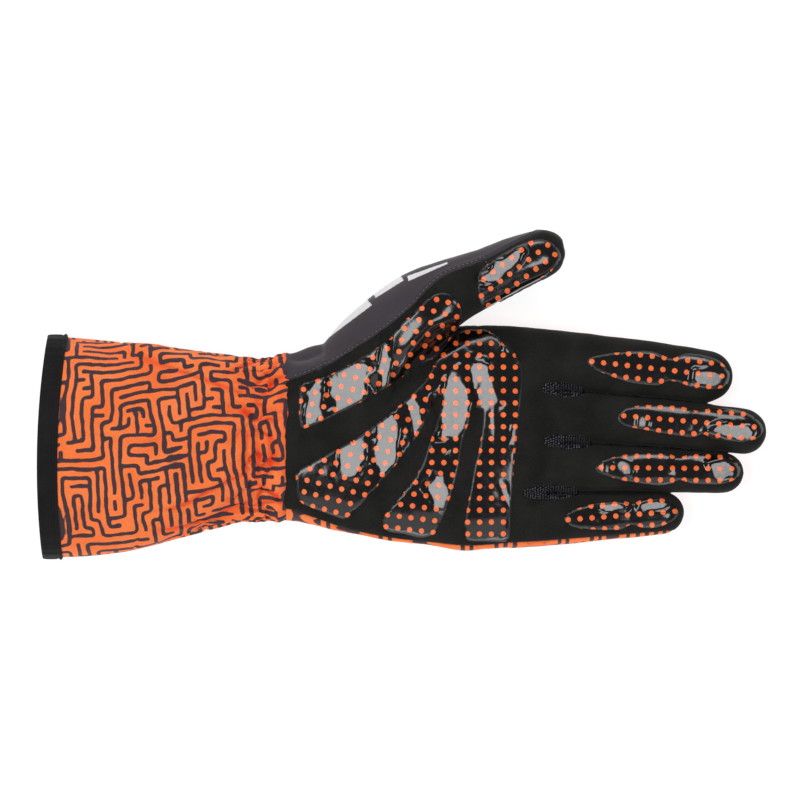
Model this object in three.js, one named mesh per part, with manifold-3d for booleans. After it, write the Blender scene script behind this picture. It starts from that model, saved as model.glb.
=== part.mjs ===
// Left-hand karting glove lying on its back with the palm up. Lengths are in millimetres.
// Hand frame: X runs from the wrist seam to the fingertips, Y to the thumb side, Z up from the surface.
// The glove is a hollow cloth shell, cut along its seams into panels, with grips laid on the palm side.
import * as THREE from "three";
import { mergeVertices } from "three/addons/utils/BufferGeometryUtils.js";
import Module from "manifold-3d";

const wasm = await Module();
wasm.setup();

// Cloth walls, seams and clearances
const HAND_WALL = 1.3;
const GAUNTLET_WALL = 1.1;
const HEM_WALL = 2.4;
const HEM_PROUD = 0.6;
const SEAM_GAP = 0.3;
const GRIP_GAP = 0.3;
const GRIP_THICKNESS = 0.7;
const SETTLE = 0.8;

// Gauntlet, from the wrist seam back to the hem band
const GAUNTLET_LENGTH = 98.6;
const MOUTH_WIDTH = 93.4;
const MOUTH_HEIGHT = 34;
const WAIST_WIDTH = 68;
const WAIST_HEIGHT = 24;
const GATHER_COUNT = 9;
const GATHER_DEPTH = 1.3;
const HEM_WIDTH = 8.8;
const HEM_BOW = 4.4;
const HEM_SKEW = 1.6;

// Palm, from the wrist seam to the finger crotches
const PALM_LENGTH = 119.5;
const PALM_HEIGHT = 27;
const HEEL_WIDTH = 70.8;
const HEEL_HEIGHT = 25;
const LITTLE_DROP = 16.5;
const INDEX_DROP = 5.5;

// Fingers and thumb
const INDEX_LENGTH = 72.8;
const INDEX_WIDTH = 24.7;
const MIDDLE_LENGTH = 84.4;
const MIDDLE_WIDTH = 21.4;
const RING_LENGTH = 77.1;
const RING_WIDTH = 20.6;
const LITTLE_LENGTH = 60.4;
const LITTLE_WIDTH = 21.3;
const FINGER_HEIGHT = 19;
const FINGER_GAP = 0.8;
const THUMB_LENGTH = 118;
const THUMB_WIDTH = 44;
const THUMB_HEIGHT = 30;
const THUMB_RISE = 22;

// Mesh gussets between the fingers
const GUSSET_LENGTH = 20;
const GUSSET_WIDTH = 5.6;
const FOURCHETTE_FOOT = 3.6;

// Each section's top and base follow a rounded box curve, and the base is the squarer of the two.
const TOP_ROUNDNESS = 2.2;
const BASE_ROUNDNESS = 3;
const SEAM_SHARE = 0.46;
const GAUNTLET_SIDES = 36;
const PALM_SIDES = 20;
const FINGER_SIDES = 12;
const THUMB_SIDES = 14;
const REACH = 400;

// along: share of the gauntlet from the wrist seam; flare: 0 at the waist, 1 at the mouth
// drift: sideways shift as a share of the mouth's width; gather: share of the gather depth
const GAUNTLET_SECTIONS = [
  { along: 0.0, flare: 0.1, drift: 0, gather: 0.25 },
  { along: 0.06, flare: 0, drift: -0.016, gather: 0.8 },
  { along: 0.11, flare: 0, drift: -0.028, gather: 1 },
  { along: 0.18, flare: 0.05, drift: -0.025, gather: 0.9 },
  { along: 0.27, flare: 0.17, drift: -0.021, gather: 0.55 },
  { along: 0.38, flare: 0.34, drift: -0.027, gather: 0.3 },
  { along: 0.53, flare: 0.55, drift: -0.04, gather: 0.15 },
  { along: 0.66, flare: 0.74, drift: -0.044, gather: 0.08 },
  { along: 0.82, flare: 0.9, drift: -0.046, gather: 0.04 },
  { along: 1.0, flare: 1.0, drift: -0.045, gather: 0 },
];

// Folds and hollows pressed into the upper cloth. Places are shares: along the gauntlet or palm from
// the wrist seam, and across half the mouth or knuckle row; depth and width are in millimetres.
const GAUNTLET_FOLDS = [
  { from: [1.25, 0.95], to: [0.42, 0.42], depth: 2.2, width: 5 },
  { from: [0.52, -1.05], to: [0.14, -0.3], depth: 2.4, width: 4.5 },
  { from: [0.13, 0.35], to: [0.11, -0.35], depth: 1.8, width: 4 },
  { from: [0.7, 0.1], to: [0.5, -0.15], depth: -1.2, width: 14 },
];
const PALM_FOLDS = [
  { from: [0.441, -0.072], to: [0.734, 0.078], depth: 2.6, width: 16 },
  { from: [0.323, 0.148], to: [0.509, 0.747], depth: 1.4, width: 5 },
  { from: [0.881, 0.627], to: [0.862, -0.671], depth: 0.8, width: 6 },
];

// along: share of the palm; thumbSide and littleSide: shares of the knuckle row's width
// height: share of the palm's height; keep: how much of it is left where the far end closes
// thumbSeam and littleSeam: where the suede ends, shares of each side
const PALM_SECTIONS = [
  { along: -0.04, thumbSide: 0.39, littleSide: 0.392, height: 0.92, thumbSeam: 0.66, littleSeam: 0.85 },
  { along: 0, thumbSide: 0.392, littleSide: 0.392, height: 0.926, thumbSeam: 0.68, littleSeam: 0.865 },
  { along: 0.09, thumbSide: 0.43, littleSide: 0.414, height: 0.95, thumbSeam: 0.716, littleSeam: 0.92 },
  { along: 0.19, thumbSide: 0.45, littleSide: 0.444, height: 0.98, thumbSeam: 0.825, littleSeam: 0.962 },
  { along: 0.33, thumbSide: 0.47, littleSide: 0.48, height: 1.0, thumbSeam: 1.03, littleSeam: 0.98 },
  { along: 0.5, thumbSide: 0.5, littleSide: 0.508, height: 0.98, thumbSeam: 1.2, littleSeam: 0.985 },
  { along: 0.65, thumbSide: 0.522, littleSide: 0.533, height: 0.93, thumbSeam: 1.2, littleSeam: 0.985 },
  { along: 0.79, thumbSide: 0.524, littleSide: 0.527, height: 0.87, thumbSeam: 1.2, littleSeam: 0.98 },
  { along: 0.89, thumbSide: 0.514, littleSide: 0.515, height: 0.79, thumbSeam: 1.2, littleSeam: 0.975 },
  { along: 0.95, thumbSide: 0.506, littleSide: 0.502, height: 0.7, thumbSeam: 1.2, littleSeam: 0.97 },
  { along: 0.985, thumbSide: 0.488, littleSide: 0.485, height: 0.7, thumbSeam: 1.2, littleSeam: 0.97, keep: 0.75 },
  { along: 1.0, thumbSide: 0.468, littleSide: 0.465, height: 0.7, thumbSeam: 1.2, littleSeam: 0.97, keep: 0.4 },
];

// lean and curl: sideways run, shares of the length; taper: width left at the tip, reached as along ** pull
// thumbSeam and littleSeam: where the suede ends, shares of the half width
// gripFrom and waist: places along the finger; gripWidth: share of its width
// gusset: share of the gusset length, for the gusset on the finger's little side
const FINGERS = [
  { name: "index", length: INDEX_LENGTH, width: INDEX_WIDTH, lean: -0.095, curl: -0.02, taper: 0.85, pull: 2,
    thumbSeam: 1.2, littleSeam: 0.93, gripFrom: 0.14, waist: 0.63, gripWidth: 0.62, gusset: 0.88 },
  { name: "middle", length: MIDDLE_LENGTH, width: MIDDLE_WIDTH, lean: -0.065, curl: -0.024, taper: 0.88, pull: 1.5,
    thumbSeam: 0.93, littleSeam: 0.93, gripFrom: 0.25, waist: 0.67, gripWidth: 0.69, gusset: 1.02 },
  { name: "ring", length: RING_LENGTH, width: RING_WIDTH, lean: -0.01, curl: -0.028, taper: 0.82, pull: 1.6,
    thumbSeam: 0.93, littleSeam: 0.93, gripFrom: 0.18, waist: 0.65, gripWidth: 0.73, gusset: 1.2 },
  { name: "little", length: LITTLE_LENGTH, width: LITTLE_WIDTH, lean: 0.06, curl: 0, taper: 0.78, pull: 1,
    thumbSeam: 0.93, littleSeam: 0.93, gripFrom: 0.12, waist: 0.62, gripWidth: 0.66 },
];

// Stations along a finger's shaft, as shares of the shaft, what is kept of its root inside the palm,
// and the rounding of its tip
const SHAFT = [-0.35, 0, 0.3, 0.62, 1];
const ROOT_KEEP = 0.86;
const TIP = [
  { reach: 0.42, keep: 0.93 },
  { reach: 0.72, keep: 0.74 },
  { reach: 0.92, keep: 0.44 },
  { reach: 1.0, keep: 0.12 },
];

// Thumb root: shares of the palm's length and half the knuckle row.
const THUMB_ROOT = { along: 0.171, across: 0.365 };
// forward and out: shares of the thumb's length from the root; half: share of its width
// rise: share of the thumb's rise; height: share of its height; seam: where the suede ends on the outer side
const THUMB_SECTIONS = [
  { forward: -0.03, out: -0.035, half: 0.4, rise: 0.5, height: 0.72, seam: 0.88 },
  { forward: 0.143, out: 0.16, half: 0.45, rise: 0.7, height: 0.98, seam: 0.34 },
  { forward: 0.286, out: 0.303, half: 0.39, rise: 0.85, height: 0.98, seam: 0.2 },
  { forward: 0.411, out: 0.382, half: 0.322, rise: 0.93, height: 0.86, seam: 0.5 },
  { forward: 0.554, out: 0.443, half: 0.272, rise: 0.98, height: 0.76, seam: 0.56 },
  { forward: 0.679, out: 0.5, half: 0.246, rise: 1.0, height: 0.68, seam: 0.7 },
  { forward: 0.75, out: 0.524, half: 0.222, rise: 1.0, height: 0.6, seam: 0.85 },
  { forward: 0.79, out: 0.536, half: 0.168, rise: 1.0, height: 0.45, seam: 1.0 },
  { forward: 0.813, out: 0.541, half: 0.09, rise: 1.0, height: 0.22, seam: 1.0 },
];

// The thumb tip's grip starts ahead of this section, by this much in millimetres.
const THUMB_GRIP_ROW = 4;
const THUMB_GRIP_LEAD = 5;

// Where the thumb's back panel meets the hand's, shares of the palm's length and half the knuckle row
const BACK_SPLIT = [
  { along: -0.098, across: 0.307 },
  { along: 0.245, across: 0.387 },
  { along: 0.489, across: 0.647 },
  { along: 0.646, across: 0.976 },
  { along: 0.715, across: 1.126 },
  { along: 1.273, across: 1.325 },
];

// Grip outlines on the palm, [along, across], shares of the palm's length and half the knuckle row
const THENAR_GRIP = [
  [0.059, 0.507], [0.147, 0.607], [0.255, 0.737], [0.362, 0.926], [0.489, 1.246], [0.548, 1.345], [0.597, 1.335],
  [0.627, 1.186], [0.612, 1.056], [0.558, 0.906], [0.489, 0.697], [0.392, 0.537], [0.274, 0.357], [0.157, 0.198],
  [0.064, 0.113], [0.044, 0.278],
];
const PALM_GRIP = [
  [0.044, -0.291], [0.186, -0.082], [0.303, 0.118], [0.411, 0.327], [0.48, 0.557], [0.534, 0.767], [0.587, 0.926],
  [0.646, 1.016], [0.734, 1.026], [0.793, 0.876], [0.832, 0.627], [0.83, 0.327], [0.808, -0.172], [0.795, -0.87],
  [0.773, -0.965], [0.646, -0.965], [0.489, -0.925], [0.343, -0.82], [0.225, -0.74], [0.098, -0.651], [0.039, -0.521],
];

// Bare strips between the grips, from the little-finger side to their round ends; widths in millimetres
const BARE_STRIPS = [
  { from: [0.255, -0.92], by: [0.431, -0.331], to: [0.534, 0.397], wide: 13.5, narrow: 5.2 },
  { from: [0.568, -1.12], by: [0.641, -0.421], to: [0.678, 0.278], wide: 12.5, narrow: 5.8 },
];

// A closed skin through rings of points, each end closed to its ring's middle
function loftGeometry(rings) {
  const count = rings[0].length;
  const middle = (ring) =>
    ring.reduce((sum, point) => sum.add(point), new THREE.Vector3()).divideScalar(count);
  const points = [...rings.flat(), middle(rings[0]), middle(rings.at(-1))];
  const first = rings.length * count;
  const last = first - count;
  const faces = [];
  for (let i = 0; i < count; i++) {
    const next = (i + 1) % count;
    faces.push(first, next, i);
    for (let a = 0; a < last; a += count) {
      const b = a + count;
      faces.push(a + i, a + next, b + next, a + i, b + next, b + i);
    }
    faces.push(first + 1, last + i, last + next);
  }
  const geometry = new THREE.BufferGeometry().setFromPoints(points);
  geometry.setIndex(faces);
  return geometry;
}

// A three.js geometry as a solid that can be joined and cut
function solidOf(geometry) {
  const bare = geometry.clone();
  bare.deleteAttribute("normal");
  bare.deleteAttribute("uv");
  const merged = mergeVertices(bare, 1e-4);
  const mesh = new wasm.Mesh({
    numProp: 3,
    vertProperties: Float32Array.from(merged.getAttribute("position").array),
    triVerts: Uint32Array.from(merged.index.array),
  });
  return new wasm.Manifold(mesh);
}

const loft = (rings) => solidOf(loftGeometry(rings));
const joined = (solids) => solids.reduce((all, solid) => all.add(solid));
const lerp = THREE.MathUtils.lerp;

// A block from one corner to the opposite one
function block(low, high) {
  const box = new THREE.BoxGeometry(high[0] - low[0], high[1] - low[1], high[2] - low[2]);
  box.translate((low[0] + high[0]) / 2, (low[1] + high[1]) / 2, (low[2] + high[2]) / 2);
  return solidOf(box);
}

// Everything above a height, and everything ahead of a place along the hand
const above = (z) => block([-REACH, -REACH, z], [REACH, REACH, REACH]);
const between = (x0, x1) => block([x0, -REACH, -REACH], [x1, REACH, REACH]);

// Distance from a point of the plan to a segment
function distanceTo(x, y, [x0, y0], [x1, y1]) {
  const line = new THREE.Vector2(x1 - x0, y1 - y0);
  const point = new THREE.Vector2(x - x0, y - y0);
  const share = THREE.MathUtils.clamp(point.dot(line) / line.lengthSq(), 0, 1);
  return point.sub(line.multiplyScalar(share)).length();
}

// How deep the folds press the upper cloth at a point of the plan
function foldDepth(folds, place, x, y) {
  const depths = folds.map((fold) => {
    const away = distanceTo(x, y, place(fold.from), place(fold.to));
    return fold.depth * Math.exp(-((away / fold.width) ** 2));
  });
  return depths.reduce((sum, depth) => sum + depth, 0);
}

// A section is an oval across a heading: left and right of its centre, top above and base below its seam.
function ovalRing(section, grow, sides) {
  const { centre, heading, left, right, top, base, gather = 0, bow = 0, skew = 0, dent = () => 0 } = section;
  return Array.from({ length: sides }, (_, i) => {
    const turn = (2 * Math.PI * i) / sides;
    const across = Math.cos(turn);
    const up = Math.sin(turn);
    const power = 2 / (up > 0 ? TOP_ROUNDNESS : BASE_ROUNDNESS);
    const half = (across > 0 ? left : right) + grow;
    const tall = (up > 0 ? top : base) + grow;
    const ripple = gather * Math.cos(GATHER_COUNT * turn);
    const y = Math.sign(across) * Math.abs(across) ** power * half + ripple * across;
    const z = Math.sign(up) * Math.abs(up) ** power * tall + ripple * up;
    const side = y / half;
    const forward = bow * side * side + skew * side;
    const x = centre.x + forward * Math.cos(heading) - y * Math.sin(heading);
    const plan = centre.y + forward * Math.sin(heading) + y * Math.cos(heading);
    const pressed = up > 0 ? dent(x, plan) * Math.sqrt(up) : 0;
    return new THREE.Vector3(x, plan, centre.z + z - pressed);
  });
}

// The part of a section on the palm side of its seams, as a four-cornered ring open to the sky
function frontRing(section, grow) {
  const { centre, heading, left, right, thumbSeam, littleSeam } = section;
  const edge = (y, z) =>
    new THREE.Vector3(centre.x - y * Math.sin(heading), centre.y + y * Math.cos(heading), z);
  const outer = left * thumbSeam + grow;
  const inner = -right * littleSeam - grow;
  const foot = centre.z - grow;
  return [edge(outer, foot), edge(outer, REACH), edge(inner, REACH), edge(inner, foot)];
}

const knuckleRow =
  INDEX_WIDTH + MIDDLE_WIDTH + RING_WIDTH + LITTLE_WIDTH + 3 * FINGER_GAP;
const palmPlace = ([along, across]) => [along * PALM_LENGTH, (across * knuckleRow) / 2];
const gauntletPlace = ([along, across]) => [-along * GAUNTLET_LENGTH, (across * MOUTH_WIDTH) / 2];

// How far the knuckles fall back from the palm's length to either side of the middle finger
function knuckleFall(y) {
  const side = (2 * y) / knuckleRow;
  return side > 0 ? INDEX_DROP * side : LITTLE_DROP * (-side) ** 1.2;
}

// Gauntlet sections run back from the wrist seam, and the first one matches the heel of the palm.
function gauntletSection(row) {
  const heel = row.along === 0;
  const width = heel ? HEEL_WIDTH : lerp(WAIST_WIDTH, MOUTH_WIDTH, row.flare);
  const height = heel ? HEEL_HEIGHT : lerp(WAIST_HEIGHT, MOUTH_HEIGHT, row.flare);
  const seam = height * SEAM_SHARE;
  const hang = row.along ** 2;
  return {
    centre: new THREE.Vector3(-row.along * GAUNTLET_LENGTH, row.drift * MOUTH_WIDTH, seam),
    heading: 0,
    left: width / 2,
    right: width / 2,
    top: height - seam,
    base: seam + SETTLE,
    gather: row.gather * GATHER_DEPTH,
    bow: HEM_BOW * hang,
    skew: HEM_SKEW * hang,
    dent: (x, y) => foldDepth(GAUNTLET_FOLDS, gauntletPlace, x, y),
  };
}

// The hem band carries the gauntlet's last section straight on.
function hemSection(back) {
  const mouth = gauntletSection(GAUNTLET_SECTIONS.at(-1));
  mouth.centre.x -= back;
  return mouth;
}

function palmSections() {
  return PALM_SECTIONS.map((row) => {
    const height = row.along <= 0 ? HEEL_HEIGHT : row.height * PALM_HEIGHT;
    const seam = height * SEAM_SHARE;
    const heelShare = HEEL_WIDTH / 2 / knuckleRow / PALM_SECTIONS[1].thumbSide;
    const keep = row.keep ?? 1;
    const widen = lerp(heelShare, 1, Math.min(1, Math.max(0, row.along) / 0.5));
    return {
      centre: new THREE.Vector3(row.along * PALM_LENGTH, 0, seam),
      heading: 0,
      left: row.thumbSide * knuckleRow * widen,
      right: row.littleSide * knuckleRow * widen,
      top: (height - seam) * keep,
      base: (seam + SETTLE) * keep,
      thumbSeam: row.thumbSeam,
      littleSeam: row.littleSeam,
      dent: (x, y) => foldDepth(PALM_FOLDS, palmPlace, x, y),
    };
  });
}

// The palm's far end falls back at the knuckles, and grows forward with its wall.
function fallBack(ring, section, grow) {
  const share = THREE.MathUtils.smoothstep(section.centre.x / PALM_LENGTH, 0.5, 1);
  return ring.map((point) => point.clone().setX(point.x + share * (grow - knuckleFall(point.y))));
}

// Finger roots stand side by side along the knuckle row, from the thumb side down.
function placeFingers() {
  let edge = knuckleRow / 2;
  return FINGERS.map((finger) => {
    const y = edge - finger.width / 2;
    edge -= finger.width + FINGER_GAP;
    return { ...finger, root: new THREE.Vector3(PALM_LENGTH - knuckleFall(y), y, 0) };
  });
}

// A finger's section at a distance from its root; keep shrinks it towards the tip
function fingerSection(finger, distance, keep = 1) {
  const share = distance / finger.length;
  const run = Math.max(0, share);
  const half = (finger.width / 2) * lerp(1, finger.taper, run ** finger.pull) * keep;
  const height = FINGER_HEIGHT * lerp(1, 0.82, run);
  const seam = height * SEAM_SHARE;
  const y = finger.length * (finger.lean * share + finger.curl * run * run);
  return {
    centre: new THREE.Vector3(finger.root.x + distance, finger.root.y + y, seam),
    heading: Math.atan(finger.lean + 2 * finger.curl * run),
    left: half,
    right: half,
    top: (height - seam) * keep,
    base: (seam + SETTLE) * keep,
    thumbSeam: finger.thumbSeam,
    littleSeam: finger.littleSeam,
  };
}

const tipRadius = (finger) => (finger.width / 2) * finger.taper;

function fingerSections(finger, grow) {
  const shaft = finger.length - tipRadius(finger);
  const round = tipRadius(finger) + grow;
  return [
    ...SHAFT.map((share) => fingerSection(finger, share * shaft, share < 0 ? ROOT_KEEP : 1)),
    ...TIP.map(({ reach, keep }) => fingerSection(finger, shaft + reach * round, keep)),
  ];
}

// The thumb follows a curve from its root, and its tip grows forward with its wall.
function thumbSections(grow) {
  const [rootX, rootY] = palmPlace([THUMB_ROOT.along, THUMB_ROOT.across]);
  const centres = THUMB_SECTIONS.map(
    ({ forward, out, rise }) =>
      new THREE.Vector3(rootX + forward * THUMB_LENGTH, rootY + out * THUMB_LENGTH, rise * THUMB_RISE),
  );
  const last = centres.length - 1;
  return THUMB_SECTIONS.map((row, i) => {
    const run = centres[Math.min(i + 1, last)].clone().sub(centres[Math.max(i - 1, 0)]);
    const heading = Math.atan2(run.y, run.x);
    const tip = Math.max(0, i - last + 3) / 3;
    const centre = centres[i].clone();
    centre.x += tip * grow * Math.cos(heading);
    centre.y += tip * grow * Math.sin(heading);
    return {
      centre,
      heading,
      left: row.half * THUMB_WIDTH,
      right: row.half * THUMB_WIDTH,
      top: (row.height * THUMB_HEIGHT) / 2,
      base: (row.height * THUMB_HEIGHT) / 2,
      thumbSeam: row.seam,
      littleSeam: 1.2,
    };
  });
}

const fingers = placeFingers();

// The whole hand as one closed form, grown or shrunk all round
function handForm(grow) {
  const palm = loft(palmSections().map((s) => fallBack(ovalRing(s, grow, PALM_SIDES), s, grow)));
  const digits = fingers.map((finger) =>
    loft(fingerSections(finger, grow).map((s) => ovalRing(s, grow, FINGER_SIDES))),
  );
  const thumb = loft(thumbSections(grow).map((s) => ovalRing(s, grow, THUMB_SIDES)));
  return joined([palm, ...digits, thumb]);
}

// Everything on the palm side of the seams, where the suede lies
function frontRegion(grow) {
  const onward = ({ centre }) => centre.clone().setX(centre.x + grow);
  const palm = loft(palmSections().map((s) => frontRing({ ...s, centre: onward(s) }, grow)));
  const digits = fingers.map((finger) => {
    const shaft = finger.length - tipRadius(finger);
    const stations = [...SHAFT.map((share) => share * shaft), finger.length + 2 * HAND_WALL];
    return loft(stations.map((distance) => frontRing(fingerSection(finger, distance), grow)));
  });
  const thumb = thumbSections(2 * HAND_WALL).map((s, i, all) => ({
    ...s,
    left: Math.max(s.left, all[5].left),
    right: Math.max(s.right, all[5].right),
  }));
  return joined([palm, ...digits, loft(thumb.map((s) => frontRing(s, grow)))]);
}

// A slab over one side of a finger, from the crotch to where its tip rounds off
function sideSlab(finger, side, grow) {
  const shaft = finger.length - tipRadius(finger);
  const rings = [-0.1 * shaft, 0.5 * shaft, shaft + grow].map((distance) => {
    const section = fingerSection(finger, distance);
    const reach = side * 1.25 * section.left;
    section.centre.z = FOURCHETTE_FOOT;
    return frontRing(
      { ...section, left: Math.max(reach, 0), right: Math.max(-reach, 0), thumbSeam: 1, littleSeam: 1 },
      grow,
    );
  });
  return loft(rings);
}

// The oval of mesh that shows on the palm side at a crotch
function gussetOval(upper, lower, grow) {
  const y = (upper.root.y - upper.width / 2 + lower.root.y + lower.width / 2) / 2;
  const x = PALM_LENGTH - knuckleFall(y);
  const lean = (upper.lean + lower.lean) / 2;
  const rings = [-1, -0.8, -0.4, 0, 0.4, 0.8, 1].map((share) => {
    const half = (GUSSET_WIDTH / 2) * Math.sqrt(1.04 - share * share) + grow;
    const distance = share * ((upper.gusset * GUSSET_LENGTH) / 2 + grow);
    const centre = new THREE.Vector3(x + distance, y + distance * lean, FOURCHETTE_FOOT);
    return frontRing({ centre, heading: 0, left: half, right: half, thumbSeam: 1, littleSeam: 1 }, 0);
  });
  return loft(rings);
}

// The sides of two neighbouring fingers and the crotch between them
const fourchetteRegion = (upper, lower, grow) =>
  sideSlab(upper, -1, grow).add(sideSlab(lower, 1, grow));

// The thumb's side of the back, split from the hand's back along a line
function thumbBackRegion(grow) {
  const rings = BACK_SPLIT.map(({ along, across }) => {
    const [x, y] = palmPlace([along, across]);
    const corner = (out, z) => new THREE.Vector3(x, out, z);
    return [corner(REACH, -1), corner(REACH, REACH), corner(y - grow, REACH), corner(y - grow, -1)];
  });
  return loft(rings);
}

// A prism over a closed curve through an outline's points
function outlinePrism(outline) {
  const corners = outline.map((point) => new THREE.Vector3(...palmPlace(point), 0));
  const curve = new THREE.CatmullRomCurve3(corners, true, "centripetal");
  const shape = new THREE.Shape(
    curve.getPoints(2 * outline.length).slice(0, -1).map(({ x, y }) => new THREE.Vector2(x, y)),
  );
  return solidOf(new THREE.ExtrudeGeometry(shape, { depth: REACH, bevelEnabled: false }));
}

// A bare strip between grips: a slab along a bend, with a round end
function stripPrism({ from, by, to, wide, narrow }) {
  const [a, b, c] = [from, by, to].map((point) => new THREE.Vector2(...palmPlace(point)));
  const bend = new THREE.QuadraticBezierCurve(a, b, c);
  const slab = (share, half, onward) => {
    const point = bend.getPoint(share);
    const run = bend.getTangent(share);
    const centre = new THREE.Vector3(point.x + onward * run.x, point.y + onward * run.y, 0);
    const heading = Math.atan2(run.y, run.x);
    return frontRing({ centre, heading, left: half, right: half, thumbSeam: 1, littleSeam: 1 }, 0);
  };
  const shaft = [0, 0.25, 0.5, 0.75, 1].map((share) => slab(share, lerp(wide, narrow, share) / 2, 0));
  const end = [30, 60, 85].map((degrees) => {
    const turn = THREE.MathUtils.degToRad(degrees);
    return slab(1, (narrow / 2) * Math.cos(turn), (narrow / 2) * Math.sin(turn));
  });
  return loft([...shaft, ...end]);
}

// A finger's grip: a long leaf with a waist at the last joint
function fingerGripPrism(finger) {
  const to = finger.length - 0.2 * tipRadius(finger);
  const from = finger.gripFrom * finger.length;
  const rings = [0, 0.06, 0.2, 0.4, 0.56, 0.64, 0.72, 0.86, 0.95, 1].map((share) => {
    const distance = lerp(from, to, share);
    const section = fingerSection(finger, distance);
    const leaf = Math.min(1, 0.12 + 1.9 * Math.sqrt(share) * Math.min(1, 0.5 + share)) * Math.min(1, 0.3 + 6 * (1 - share));
    const pinch = 1 - 0.32 * Math.exp(-(((distance / finger.length - finger.waist) / 0.06) ** 2));
    const half = section.left * finger.gripWidth * leaf * pinch;
    return frontRing({ ...section, left: half, right: half, thumbSeam: 1, littleSeam: 1 }, 0);
  });
  return loft(rings);
}

// The thumb tip's grip wraps over the inner side and stops short of the outer seam.
function thumbGripPrism() {
  const rows = thumbSections(-HAND_WALL).slice(THUMB_GRIP_ROW);
  const lead = new THREE.Vector3(Math.cos(rows[0].heading), Math.sin(rows[0].heading), 0);
  const first = { ...rows[0], centre: rows[0].centre.clone().addScaledVector(lead, -THUMB_GRIP_LEAD) };
  const reaches = [0.2, 0.45, 0.55, 0.55, 0.5];
  const rings = [first, ...rows.slice(0, -1)].map((row, i) => ({ ...row, thumbSeam: reaches[i], littleSeam: 1.3 }));
  return loft(rings.map((s) => frontRing(s, 0)));
}

// Hollow shells: the outer form, flattened where it rests, less the inner one
const handShell = handForm(0)
  .intersect(above(0))
  .subtract(handForm(-HAND_WALL).intersect(above(HAND_WALL)))
  .intersect(between(SEAM_GAP / 2, REACH));

const gauntletRings = (grow) =>
  GAUNTLET_SECTIONS.map((row) => ovalRing(gauntletSection(row), grow, GAUNTLET_SIDES));

// A tube between two skins, flattened where it rests
function clothTube(outer, inner, wall) {
  const run = [outer[0], ...outer.slice(1)];
  const first = inner[0].map((p) => p.clone().setX(p.x + 1));
  const last = inner.at(-1).map((p) => p.clone().setX(p.x - 1));
  const core = loft([last, ...inner.slice(1, -1).reverse(), first]);
  return loft(run.reverse()).intersect(above(0)).subtract(core.intersect(above(wall)));
}

const gauntlet = clothTube(gauntletRings(0), gauntletRings(-GAUNTLET_WALL), GAUNTLET_WALL).intersect(
  between(-REACH, -SEAM_GAP / 2),
);

const hemRings = (grow) =>
  [SEAM_GAP, 0.25 * HEM_WIDTH, HEM_WIDTH].map((back) =>
    ovalRing(hemSection(back), grow, GAUNTLET_SIDES),
  );
const hemBand = clothTube(hemRings(HEM_PROUD), hemRings(HEM_PROUD - HEM_WALL), HEM_WALL);

// Panels, cut from the hand's shell with half a seam's gap on each side
const half = SEAM_GAP / 2;
const pairs = fingers.slice(0, -1).map((finger, i) => [finger, fingers[i + 1]]);
const frontWide = frontRegion(half);
const ovalsWide = joined(pairs.map(([a, b]) => gussetOval(a, b, half)));
const sidesWide = joined(pairs.map(([a, b]) => fourchetteRegion(a, b, half)));

const palmPanel = handShell.intersect(frontRegion(-half)).subtract(ovalsWide);
const thumbBack = handShell.intersect(thumbBackRegion(-half)).subtract(frontWide);
const backPanel = handShell
  .subtract(frontWide)
  .subtract(sidesWide)
  .subtract(ovalsWide)
  .subtract(thumbBackRegion(half));
const fourchettes = pairs.map(([a, b]) =>
  handShell.intersect(fourchetteRegion(a, b, -half).subtract(frontWide).add(gussetOval(a, b, -half))),
);

// Grips lie on the suede in a layer of their own.
const gripLayer = handForm(GRIP_GAP + GRIP_THICKNESS)
  .subtract(handForm(GRIP_GAP))
  .intersect(frontRegion(-half));
const thenarGrip = gripLayer.intersect(outlinePrism(THENAR_GRIP));
const palmGrip = BARE_STRIPS.reduce(
  (grip, strip) => grip.subtract(stripPrism(strip)),
  gripLayer.intersect(outlinePrism(PALM_GRIP)),
);
const thumbGrip = gripLayer.intersect(thumbGripPrism());
const fingerGrips = fingers.map((finger) => gripLayer.intersect(fingerGripPrism(finger)));

// Finishes
const finish = (color, roughness) => new THREE.MeshStandardMaterial({ color, roughness, metalness: 0 });
const suede = finish(0x262525, 0.95);
const printedCloth = finish(0xf4793a, 0.85);
const charcoalCloth = finish(0x4a444a, 0.85);
const knitBinding = finish(0x211f22, 0.9);
const meshKnit = finish(0x2b2a2e, 0.9);
const siliconeGrip = finish(0x16141a, 0.2);

const glove = new THREE.Group();

// Cuts near a seam can leave crumbs, so a piece is the largest body of its cut.
function addPiece(name, solid, material) {
  const bodies = solid.decompose().sort((a, b) => b.volume() - a.volume());
  const mesh = bodies[0].getMesh();
  const geometry = new THREE.BufferGeometry();
  geometry.setAttribute("position", new THREE.BufferAttribute(mesh.vertProperties, 3));
  geometry.setIndex(new THREE.BufferAttribute(mesh.triVerts, 1));
  const piece = new THREE.Mesh(geometry, material);
  piece.name = name;
  glove.add(piece);
}

addPiece("hem_band", hemBand, knitBinding);
addPiece("gauntlet", gauntlet, printedCloth);
addPiece("palm_panel", palmPanel, suede);
addPiece("back_panel", backPanel, printedCloth);
addPiece("thumb_back", thumbBack, charcoalCloth);
pairs.forEach(([a, b], i) => addPiece(`fourchette_${a.name}_${b.name}`, fourchettes[i], meshKnit));
addPiece("grip_thenar", thenarGrip, siliconeGrip);
addPiece("grip_palm", palmGrip, siliconeGrip);
addPiece("grip_thumb", thumbGrip, siliconeGrip);
fingers.forEach(({ name }, i) => addPiece(`grip_${name}`, fingerGrips[i], siliconeGrip));

// The part's own frame has its origin under the middle of the whole glove.
const size = new THREE.Box3().setFromObject(glove);
const middle = size.getCenter(new THREE.Vector3());
glove.position.set(-middle.x, -middle.y, -size.min.z);

export default glove;
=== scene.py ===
import math
import random
from collections import namedtuple

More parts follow.
